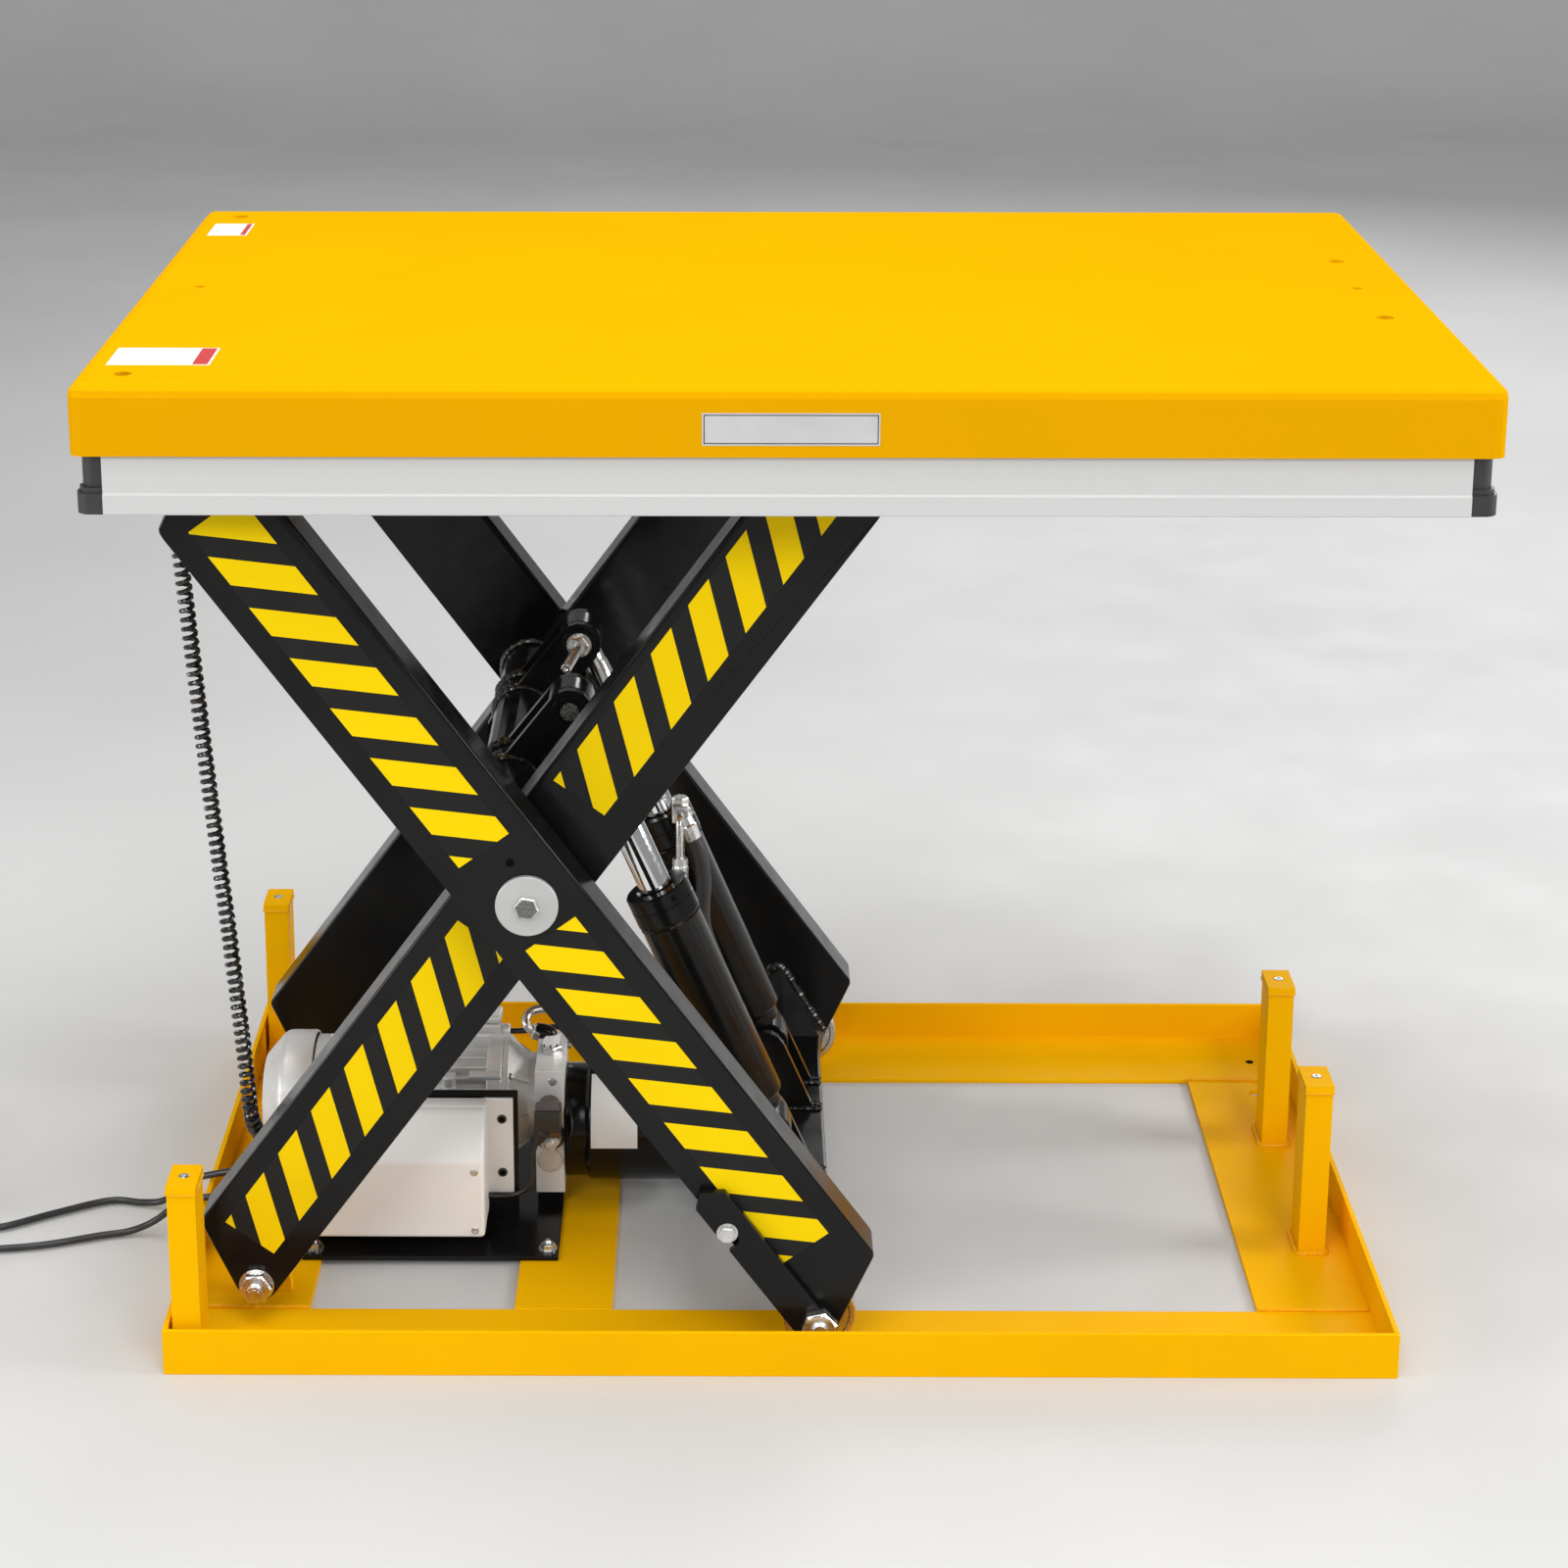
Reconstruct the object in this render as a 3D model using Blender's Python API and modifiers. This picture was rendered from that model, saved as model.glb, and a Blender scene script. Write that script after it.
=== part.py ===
"""Electric scissor lift table, raised. Metres, +Z up, +X along the deck, -Y the front.

The model is laid out about the middle of its base (BASE_CENTRE_X along X), and every moving
group hangs from an empty that stands on its joint's axis.
"""

import math

import bmesh
import bpy
from mathutils import Matrix, Vector

# ---- driving dimensions -------------------------------------------------------------------
BASE_CENTRE_X = 0.220
GAP = 0.0003

DECK_LENGTH = 1.300
DECK_WIDTH = 0.850
DECK_TOP = 1.015
DECK_SKIRT = 0.0666
DECK_SHEET = 0.004
DECK_BEND = 0.012

BASE_LENGTH = 1.220
BASE_WIDTH = 0.785
RAIL_HEIGHT = 0.048
RAIL_SHEET = 0.005
RAIL_FLANGE = 0.1225
POST_TOP = 0.198

ARM_REACH = 0.526          # centre pivot to end pin
ARM_PIN_ANGLE = math.radians(57.25)
ARM_BODY_ANGLE = math.radians(53.7)
ARM_DEPTH = 0.107
ARM_THICKNESS = 0.050
ARM_WALL = 0.005
ARM_TIP_RADIUS = 0.0209
ARM_END_CORNER = 0.024     # how far inboard of the pin the blunt end's corner lies
INNER_ARM_Y = 0.265
OUTER_ARM_Y = 0.330

BASE_PIN_X = -0.530
BASE_PIN_Z = 0.0425
ROLLER_RADIUS = 0.0372
ROLLER_WIDTH = 0.032
BOTTOM_ROLLER_Y = 0.330      # inside the forked ends of the outer arms
TOP_ROLLER_Y = 0.221
AXLE_RADIUS = 0.0125
PIN_RADIUS = 0.0095
CENTRE_PIN_RADIUS = 0.0195
BORE_CLEARANCE = 0.0008

CYLINDER_Y = 0.110
CYLINDER_FOOT = (-0.0104, 0.132)
CYLINDER_HEAD = (-0.213, 0.6045)
BARREL_RADIUS = 0.0325
ROD_RADIUS = 0.0175

MOTOR_AXIS_Z = 0.112
CABLE_RADIUS = 0.00375
CURL_RADIUS = 0.0075
COIL_RADIUS = 0.04125      # middle of the turns
COIL_WRAP = 0.01125        # half the width of the turns

BASE_PIN = Vector((BASE_PIN_X, BASE_PIN_Z))
PIN_LINE = Vector((math.cos(ARM_PIN_ANGLE), math.sin(ARM_PIN_ANGLE))) * ARM_REACH
CENTRE = BASE_PIN + PIN_LINE
TOP_ROLLER = CENTRE + PIN_LINE
BOTTOM_ROLLER = CENTRE + Vector((PIN_LINE.x, -PIN_LINE.y))
TABLE_PIN = CENTRE + Vector((-PIN_LINE.x, PIN_LINE.y))
ARM_PIN_ALONG = ARM_REACH * math.cos(ARM_PIN_ANGLE - ARM_BODY_ANGLE)
ARM_PIN_OFFSET = ARM_REACH * math.sin(ARM_PIN_ANGLE - ARM_BODY_ANGLE)

COLOURS = {
    "yellow_paint": ((0.90, 0.47, 0.005), 0.35, 0.0),
    "black_paint": ((0.012, 0.012, 0.012), 0.25, 0.0),
    "zinc_steel": ((0.62, 0.62, 0.60), 0.35, 1.0),
    "chrome": ((0.80, 0.80, 0.80), 0.10, 1.0),
    "aluminium": ((0.68, 0.68, 0.67), 0.40, 1.0),
    "white_plastic": ((0.80, 0.80, 0.78), 0.45, 0.0),
    "black_plastic": ((0.020, 0.020, 0.020), 0.45, 0.0),
    "cable_rubber": ((0.015, 0.015, 0.015), 0.40, 0.0),
    "red_plastic": ((0.60, 0.02, 0.02), 0.40, 0.0),
    "green_plastic": ((0.02, 0.35, 0.06), 0.40, 0.0),
}


# ---- scene helpers ------------------------------------------------------------------------
def clear_scene():
    for obj in list(bpy.data.objects):
        bpy.data.objects.remove(obj, do_unlink=True)


def new_collection(name, hidden=False):
    collection = bpy.data.collections.new(name)
    collection.hide_render = hidden
    bpy.context.scene.collection.children.link(collection)
    return collection


def material(name):
    found = bpy.data.materials.get(name)
    if found:
        return found
    colour, roughness, metallic = COLOURS[name]
    made = bpy.data.materials.new(name)
    made.use_nodes = True
    shader = made.node_tree.nodes["Principled BSDF"]
    shader.inputs["Base Color"].default_value = (*colour, 1.0)
    shader.inputs["Roughness"].default_value = roughness
    shader.inputs["Metallic"].default_value = metallic
    return made


def evaluated_mesh(obj):
    bpy.context.view_layer.update()
    graph = bpy.context.evaluated_depsgraph_get()
    return bpy.data.meshes.new_from_object(obj.evaluated_get(graph))


def as_mesh(obj):
    """The object as a plain welded mesh in world space, in place of its curve or modifiers."""
    mesh = evaluated_mesh(obj)
    mesh.transform(obj.matrix_world)
    name = obj.name
    bpy.data.objects.remove(obj, do_unlink=True)
    shape = bmesh.new()
    shape.from_mesh(mesh)
    bmesh.ops.remove_doubles(shape, verts=shape.verts, dist=1e-5)
    bmesh.ops.recalc_face_normals(shape, faces=shape.faces)
    shape.to_mesh(mesh)
    shape.free()
    made = bpy.data.objects.new(name, mesh)
    PARTS.objects.link(made)
    return made


def finish(obj, name, paint, parent=None):
    """Names a piece, paints it, shades its round faces smooth and hangs it from its group."""
    obj.name = name
    obj.data.name = name
    obj.data.materials.clear()
    obj.data.materials.append(material(paint))
    if obj.type == "MESH":
        obj.data.shade_smooth()
        obj.data.set_sharp_from_angle(angle=math.radians(35))
    obj.parent = parent or GROUPS["base"]
    bpy.context.view_layer.update()
    obj.matrix_parent_inverse = obj.parent.matrix_world.inverted()
    return obj


# ---- shapes, all in the layout's own coordinates -------------------------------------------
def box(low, high, bevel=0.0):
    size = Vector(high) - Vector(low)
    middle = (Vector(high) + Vector(low)) / 2
    shape = bmesh.new()
    bmesh.ops.create_cube(shape, size=1.0, matrix=Matrix.Diagonal((*size, 1.0)))
    if bevel:
        bmesh.ops.bevel(shape, geom=shape.edges[:], offset=bevel, segments=2, profile=0.5, affect="EDGES")
    shape.transform(Matrix.Translation(middle))
    mesh = bpy.data.meshes.new("box")
    shape.to_mesh(mesh)
    shape.free()
    obj = bpy.data.objects.new("box", mesh)
    PARTS.objects.link(obj)
    return obj


def arc(centre, radius, start, end, steps):
    """Points along an arc, angles in degrees."""
    points = []
    for step in range(steps + 1):
        angle = math.radians(start + (end - start) * step / steps)
        points.append((centre[0] + radius * math.cos(angle), centre[1] + radius * math.sin(angle)))
    return points


def circle(centre, radius, steps=16):
    return arc(centre, radius, 0.0, 360.0, steps)[:-1]


def rounded(corners, steps=4):
    """An outline through (x, y, radius) corners, each rounded by an arc of its own radius."""
    points = []
    count = len(corners)
    for index, (x, y, radius) in enumerate(corners):
        here = Vector((x, y))
        before = Vector(corners[index - 1][:2])
        after = Vector(corners[(index + 1) % count][:2])
        if radius <= 0.0:
            points.append((x, y))
            continue
        towards_before = (before - here).normalized()
        towards_after = (after - here).normalized()
        half = towards_before.angle(towards_after) / 2
        middle = here + (towards_before + towards_after).normalized() * radius / math.sin(half)
        first = here + towards_before * radius / math.tan(half) - middle
        last = here + towards_after * radius / math.tan(half) - middle
        start = math.atan2(first.y, first.x)
        turn = math.atan2(last.y, last.x) - start
        turn = (turn + math.pi) % (2 * math.pi) - math.pi
        for step in range(steps + 1):
            angle = start + turn * step / steps
            points.append((middle.x + radius * math.cos(angle), middle.y + radius * math.sin(angle)))
    return points


PLANES = {
    "XZ": Matrix.Rotation(math.pi / 2, 4, "X"),
    "XY": Matrix.Identity(4),
    "YZ": Matrix.Rotation(math.pi / 2, 4, "Z") @ Matrix.Rotation(math.pi / 2, 4, "X"),
}


def plate(outlines, plane, low, high, bevel=0.0):
    """A flat outline, with any holes after it, made solid between low and high across its plane."""
    curve = bpy.data.curves.new("plate", "CURVE")
    curve.dimensions = "2D"
    curve.fill_mode = "BOTH"
    curve.extrude = (high - low) / 2
    for outline in outlines:
        spline = curve.splines.new("POLY")
        spline.points.add(len(outline) - 1)
        spline.use_cyclic_u = True
        for point, (x, y) in zip(spline.points, outline):
            point.co = (x, y, 0.0, 1.0)
    obj = bpy.data.objects.new("plate", curve)
    PARTS.objects.link(obj)
    middle = (low + high) / 2
    across = {"XZ": Vector((0, middle, 0)), "XY": Vector((0, 0, middle)), "YZ": Vector((middle, 0, 0))}[plane]
    obj.matrix_world = Matrix.Translation(across) @ PLANES[plane]
    obj = as_mesh(obj)
    if bevel:
        edge = obj.modifiers.new("rounded_edges", "BEVEL")
        edge.width = bevel
        edge.segments = 1
        edge.limit_method = "ANGLE"
        edge.angle_limit = math.radians(60)
        obj = as_mesh(obj)
    return obj


def turned(profile, axis, centre, steps=16):
    """A solid of revolution. profile holds (position along the axis, radius), from one end to the other
    along the outside, and back along the inside where it is hollow."""
    mesh = bpy.data.meshes.new("turned")
    closed = profile[0][1] > 0.0
    count = len(profile)
    points = [(radius, 0.0, along) for along, radius in reversed(profile)]
    edges = [(index, index + 1) for index in range(count - 1)]
    if closed:
        edges.append((count - 1, 0))
    mesh.from_pydata(points, edges, [])
    obj = bpy.data.objects.new("turned", mesh)
    PARTS.objects.link(obj)
    screw = obj.modifiers.new("turn", "SCREW")
    screw.axis = "Z"
    screw.steps = steps
    screw.render_steps = steps
    screw.use_merge_vertices = True
    screw.merge_threshold = 1e-5
    turns = {"X": Matrix.Rotation(math.pi / 2, 4, "Y"), "Y": Matrix.Rotation(-math.pi / 2, 4, "X"),
             "Z": Matrix.Identity(4)}
    obj.matrix_world = Matrix.Translation(Vector(centre)) @ turns[axis]
    return as_mesh(obj)


def rod(start, end, radius, steps=16):
    """A plain round bar between two points."""
    start, end = Vector(start), Vector(end)
    shape = bmesh.new()
    turn = Vector((0, 0, 1)).rotation_difference(end - start).to_matrix().to_4x4()
    place = Matrix.Translation((start + end) / 2) @ turn
    bmesh.ops.create_cone(
        shape, cap_ends=True, segments=steps, radius1=radius, radius2=radius,
        depth=(end - start).length, matrix=place,
    )
    mesh = bpy.data.meshes.new("rod")
    shape.to_mesh(mesh)
    shape.free()
    obj = bpy.data.objects.new("rod", mesh)
    PARTS.objects.link(obj)
    return obj


def combine(body, operation, *others):
    """The body with each other shape joined to it or cut from it."""
    for other in others:
        other.hide_render = True
        other.display_type = "WIRE"
        cut = body.modifiers.new("combine", "BOOLEAN")
        cut.operation = operation
        cut.solver = "EXACT"
        cut.object = other
        body = as_mesh(body)
        bpy.data.objects.remove(other, do_unlink=True)
    return body


def join(body, *others):
    return combine(body, "UNION", *others)


def cut(body, *others):
    return combine(body, "DIFFERENCE", *others)


def smooth_route(points, spacing):
    """Points about one spacing apart along a smooth curve through the given ones."""
    route = []
    padded = [points[0]] + list(points) + [points[-1]]
    for index in range(1, len(padded) - 2):
        a, b, c, d = (Vector(point) for point in padded[index - 1:index + 3])
        steps = max(1, round((c - b).length / spacing))
        for step in range(steps):
            t = step / steps
            route.append(
                0.5 * (2 * b + (c - a) * t + (2 * a - 5 * b + 4 * c - d) * t ** 2
                       + (3 * b - a - 3 * c + d) * t ** 3)
            )
    route.append(Vector(points[-1]))
    return route


def tube(points, radius, resolution=1):
    """A solid round tube along a list of points."""
    curve = bpy.data.curves.new("tube", "CURVE")
    curve.dimensions = "3D"
    curve.bevel_depth = radius
    curve.bevel_resolution = resolution
    curve.use_fill_caps = True
    spline = curve.splines.new("POLY")
    spline.points.add(len(points) - 1)
    for point, place in zip(spline.points, points):
        point.co = (*place, 1.0)
    obj = bpy.data.objects.new("tube", curve)
    PARTS.objects.link(obj)
    return obj


def both_sides(make):
    """Makes the front piece (side -1) and the rear piece (side +1) of a pair."""
    for side, word in ((-1, "front"), (1, "rear")):
        make(side, word)


def across(side, near, far):
    """The low and high Y of a piece between two distances from the middle plane."""
    return min(side * near, side * far), max(side * near, side * far)


def arm_frame(rising):
    """(direction, upper normal) of an arm's centreline in the XZ plane; rising is +1 or -1."""
    along = Vector((math.cos(ARM_BODY_ANGLE), rising * math.sin(ARM_BODY_ANGLE)))
    return along, Vector((-along.y, along.x))


def on_arm(rising, points):
    """Points given as (along, normal) on an arm, as X and Z."""
    along, normal = arm_frame(rising)
    placed = [CENTRE + along * a + normal * n for a, n in points]
    return [(point.x, point.y) for point in placed]


# ---- base ---------------------------------------------------------------------------------
def base_rails():
    def rail(side, word):
        inner, outer = BASE_WIDTH / 2 - RAIL_FLANGE, BASE_WIDTH / 2
        profile = [(inner, 0), (outer, 0), (outer, RAIL_HEIGHT), (outer - RAIL_SHEET, RAIL_HEIGHT),
                   (outer - RAIL_SHEET, RAIL_SHEET), (inner, RAIL_SHEET)]
        body = plate([[(side * y, z) for y, z in profile]], "YZ", -BASE_LENGTH / 2, BASE_LENGTH / 2)
        finish(body, f"base_{word}_rail", "yellow_paint")
    both_sides(rail)


def post(x, y, foot_z):
    """A rectangular tube with a slightly larger cap, which has a tapped hole."""
    half_x, half_y, wall = 0.0140, 0.0240, 0.003
    body = box((x - half_x, y - half_y, foot_z), (x + half_x, y + half_y, POST_TOP - 0.004))
    body = cut(body, box((x - half_x + wall, y - half_y + wall, foot_z - 0.01),
                         (x + half_x - wall, y + half_y - wall, POST_TOP - 0.010)))
    cap = box((x - half_x - 0.001, y - half_y - 0.001, POST_TOP - 0.008),
              (x + half_x + 0.001, y + half_y + 0.001, POST_TOP))
    body = join(body, cap)
    return cut(body, rod((x, y, POST_TOP - 0.02), (x, y, POST_TOP + 0.01), 0.004, 12))


def base_ends():
    flange = BASE_WIDTH / 2 - RAIL_FLANGE - GAP
    reach = BASE_WIDTH / 2 - RAIL_SHEET - GAP
    low = RAIL_SHEET + GAP
    outer = BASE_LENGTH / 2
    for side, word, inner, posts in ((-1, "left", 0.480, ()), (1, "right", 0.490, (-0.125, 0.125))):
        x_low, x_high = across(side, outer - RAIL_SHEET, outer)
        body = box((x_low, -reach, low), (x_high, reach, RAIL_HEIGHT))
        shelf = [(outer - 0.0005, 0), (outer - 0.0005, 0.020), (outer - 0.0040, 0.020),
                 (outer - 0.0040, RAIL_SHEET), (inner, RAIL_SHEET), (inner, 0)]
        body = join(body, plate([[(side * x, z) for x, z in shelf]], "XZ", -flange, flange))
        if posts:
            body = cut(body, rod((0.566, 0.235, -0.01), (0.566, 0.235, 0.02), 0.008, 16))
        for y in posts:
            body = join(body, post(0.5655, y, RAIL_SHEET / 2))
        finish(body, f"base_{word}_end", "yellow_paint")

    def left_post(side, word):
        finish(post(-0.587, side * 0.357, RAIL_SHEET + GAP), f"support_post_{word}", "yellow_paint")
    both_sides(left_post)

    middle = box((-0.270, -flange, 0), (-0.170, flange, RAIL_SHEET))
    finish(middle, "base_cross_plate", "yellow_paint")


def base_pivots():
    x, z = BASE_PIN

    def bracket(side, word):
        outline = rounded([(x - 0.028, RAIL_SHEET + GAP, 0), (x + 0.028, RAIL_SHEET + GAP, 0),
                           (x + 0.022, z + 0.022, 0.018), (x - 0.022, z + 0.022, 0.018)])
        hole = circle((x, z), PIN_RADIUS + BORE_CLEARANCE)
        body = plate([outline, hole], "XZ", *across(side, 0.222, 0.236))
        finish(body, f"base_pivot_bracket_{word}", "yellow_paint")

        steps = [(0.212, 0), (0.212, 0.015), (0.2217, 0.015), (0.2217, PIN_RADIUS), (0.2903, PIN_RADIUS),
                 (0.2903, 0.0145), (0.3025, 0.0145), (0.3025, 0.008), (0.312, 0.008), (0.312, 0)]
        finish(pin(steps, side, (x, z)), f"base_pivot_pin_{word}", "zinc_steel")
    both_sides(bracket)


def pin(steps, side, place):
    """A turned pin across the machine; steps hold (distance from the middle plane, radius)."""
    profile = [(side * y, radius) for y, radius in steps]
    if side < 0:
        profile.reverse()
    return turned(profile, "Y", (place[0], 0, place[1]))


# ---- scissor ------------------------------------------------------------------------------
def arm_outline():
    """The arm in (along, normal) coordinates. Its lower-left pin sits near its lower edge."""
    half = ARM_DEPTH / 2
    pin_place = Vector((-ARM_PIN_ALONG, -ARM_PIN_OFFSET))
    corner = Vector((-ARM_PIN_ALONG + ARM_END_CORNER, half))
    reach = (corner - pin_place).length
    direction = math.atan2(corner.y - pin_place.y, corner.x - pin_place.x)
    touch_angle = direction + math.acos(ARM_TIP_RADIUS / reach)
    touch = pin_place + Vector((math.cos(touch_angle), math.sin(touch_angle))) * ARM_TIP_RADIUS
    share = (-half - corner.y) / (touch.y - corner.y)
    tip = corner + (touch - corner) * share
    end = [(corner.x, corner.y, 0.010), (tip.x, tip.y, ARM_TIP_RADIUS)]
    return rounded(end + [(-x, -y, radius) for x, y, radius in end])


def arm(rising, name, y_low, y_high, parent, mirrored):
    """A rectangular hollow arm with closed ends and three bores. mirrored puts the pin of its
    lower end near the lower edge of a falling arm."""
    flip = -1 if mirrored else 1
    outline = on_arm(rising, [(flip * a, n) for a, n in arm_outline()])
    body = plate([outline], "XZ", y_low, y_high, bevel=0.005)
    hollow = on_arm(rising, [(-0.44, -ARM_DEPTH / 2 + ARM_WALL), (0.44, -ARM_DEPTH / 2 + ARM_WALL),
                             (0.44, ARM_DEPTH / 2 - ARM_WALL), (-0.44, ARM_DEPTH / 2 - ARM_WALL)])
    body = cut(body, plate([hollow], "XZ", y_low + ARM_WALL, y_high - ARM_WALL))
    lower, upper = (BOTTOM_ROLLER, TABLE_PIN) if mirrored else (BASE_PIN, TOP_ROLLER)
    lower_pin, upper_pin = (AXLE_RADIUS, PIN_RADIUS) if mirrored else (PIN_RADIUS, AXLE_RADIUS)
    for place, radius in ((lower, lower_pin), (CENTRE, CENTRE_PIN_RADIUS), (upper, upper_pin)):
        drill = rod((place.x, y_low - 0.01, place.y), (place.x, y_high + 0.01, place.y),
                    radius + BORE_CLEARANCE, 16)
        body = cut(body, drill)
    if mirrored:
        fork = rod((lower.x, y_low + ARM_WALL, lower.y), (lower.x, y_high - ARM_WALL, lower.y),
                   ROLLER_RADIUS + 0.004, 24)
        body = cut(body, fork)
    finish(body, name, "black_paint", parent)


def scissor_arms():
    half = ARM_THICKNESS / 2

    def pair(side, word):
        arm(1, f"inner_arm_{word}", *across(side, INNER_ARM_Y - half, INNER_ARM_Y + half),
            GROUPS["inner_arms"], False)
        arm(-1, f"outer_arm_{word}", *across(side, OUTER_ARM_Y - half, OUTER_ARM_Y + half),
            GROUPS["outer_arms"], True)
        steps = [(0.2405, 0), (0.2405, CENTRE_PIN_RADIUS), (0.2903, CENTRE_PIN_RADIUS), (0.2903, 0.030), (0.3047, 0.030), (0.3047, CENTRE_PIN_RADIUS),
                 (0.3553, CENTRE_PIN_RADIUS), (0.3553, 0.030), (0.3600, 0.030), (0.3600, 0.0105),
                 (0.3675, 0.0105), (0.3675, 0)]
        finish(pin(steps, side, CENTRE), f"centre_pivot_pin_{word}", "zinc_steel", GROUPS["inner_arms"])
    both_sides(pair)


def rollers():
    def pair(side, word):
        for level, place, y in (("bottom", BOTTOM_ROLLER, BOTTOM_ROLLER_Y), ("top", TOP_ROLLER, TOP_ROLLER_Y)):
            low, high = across(side, y - ROLLER_WIDTH / 2, y + ROLLER_WIDTH / 2)
            rim = circle(place, ROLLER_RADIUS, 24)
            bore = circle(place, AXLE_RADIUS + BORE_CLEARANCE)
            name = f"{level}_roller_{word}"
            finish(plate([rim, bore], "XZ", low, high), name, "zinc_steel", GROUPS[name])
    both_sides(pair)


def mirrored_shaft(steps, place):
    """A turned shaft across the whole machine; steps run from the middle plane outwards."""
    right = list(steps)
    left = [(-y, radius) for y, radius in reversed(steps)]
    return turned(left + right, "Y", (place[0], 0, place[1]))


def hull(points):
    """The smallest convex solid around some points."""
    shape = bmesh.new()
    for point in points:
        shape.verts.new(point)
    bmesh.ops.convex_hull(shape, input=shape.verts[:])
    mesh = bpy.data.meshes.new("hull")
    shape.to_mesh(mesh)
    shape.free()
    obj = bpy.data.objects.new("hull", mesh)
    PARTS.objects.link(obj)
    return obj


def outer_cross_beam():
    """A square tube around the roller shaft, flared at each end where it is welded to an arm, with
    two pairs of lugs for the cylinders' feet and a pin through each pair."""
    x, half, flare, end = 0.035, 0.020, 0.264, OUTER_ARM_Y - ARM_THICKNESS / 2 - GAP
    z = BOTTOM_ROLLER.y
    foot = Vector(CYLINDER_FOOT)
    body = box((x - half, -flare - 0.010, z - half), (x + half, flare + 0.010, z + half), bevel=0.003)
    for side in (-1, 1):
        inner = [(x + dx, side * flare, z + dz) for dx in (-half, half) for dz in (-half, half)]
        outer = [(-0.0044, 0.1267), (0.0103, 0.1327), (0.0626, 0.0514), (x + half, z - half), (x - half, z - half)]
        body = join(body, hull(inner + [(px, side * end, pz) for px, pz in outer]))
    width = 0.024
    root = Vector((x, z))
    line = (foot - root).normalized()
    square = Vector((-line.y, line.x))
    lug = rounded([(*(root - line * 0.012 - square * 0.016), 0.004), (*(foot + line * width - square * width), width),
                   (*(foot + line * width + square * width), width), (*(root - line * 0.012 + square * 0.016), 0.004)])
    for side in (-1, 1):
        y = side * CYLINDER_Y
        for offset in (-0.0330, 0.0330):
            body = join(body, plate([lug], "XZ", y + offset - 0.005, y + offset + 0.005))
        body = join(body, rod((foot.x, y - 0.041, foot.y), (foot.x, y + 0.041, foot.y), 0.0145, 16))
    body = cut(body, box((x - half + 0.004, -flare + 0.004, z - half + 0.004),
                         (x + half - 0.004, flare - 0.004, z + half - 0.004)))
    drill = rod((BOTTOM_ROLLER.x, -0.35, z), (BOTTOM_ROLLER.x, 0.35, z), AXLE_RADIUS + BORE_CLEARANCE, 16)
    finish(cut(body, drill), "outer_cross_beam", "black_paint", GROUPS["outer_arms"])


def cross_members():
    outer_cross_beam()
    ends = [(0.3660, AXLE_RADIUS), (0.3660, 0.0155), (0.3780, 0.0155), (0.3780, 0)]
    finish(mirrored_shaft(ends, BOTTOM_ROLLER), "bottom_roller_shaft", "zinc_steel", GROUPS["outer_arms"])

    ends = [(0.1920, AXLE_RADIUS), (0.1920, 0.018), (0.2030, 0.018), (0.2030, AXLE_RADIUS),
            (0.2915, AXLE_RADIUS), (0.2915, 0.018), (0.3015, 0.018), (0.3015, 0)]
    finish(mirrored_shaft(ends, TOP_ROLLER), "top_roller_shaft", "zinc_steel", GROUPS["inner_arms"])

    tube_place = on_arm(1, [(0.015, 0.048)])[0]
    body = rod((tube_place[0], -0.2397, tube_place[1]), (tube_place[0], 0.2397, tube_place[1]), 0.030, 20)
    head = Vector(CYLINDER_HEAD)
    root = Vector(tube_place)
    line = (head - root).normalized()
    square = Vector((-line.y, line.x))
    width = 0.0235
    outline = rounded([(*(root - line * 0.045 - square * width), 0.020), (*(head + line * width - square * width), width),
                       (*(head + line * width + square * width), width), (*(root - line * 0.045 + square * width), 0.020)])
    for side in (-1, 1):
        for offset in (-0.023, 0.023):
            y = side * CYLINDER_Y + offset
            body = join(body, plate([outline, circle(head, 0.010)], "XZ", y - 0.005, y + 0.005))
    finish(body, "inner_cross_tube", "black_paint", GROUPS["inner_arms"])


# ---- lifting cylinders --------------------------------------------------------------------
def placed_along(obj, start, direction):
    """Turns a shape made along +Z so that it runs from a point along a direction in the XZ plane."""
    turn = Vector((0, 0, 1)).rotation_difference(Vector((direction.x, 0, direction.y)))
    obj.matrix_world = Matrix.Translation((start[0], start[2], start[1])) @ turn.to_matrix().to_4x4()
    return as_mesh(obj)


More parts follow.
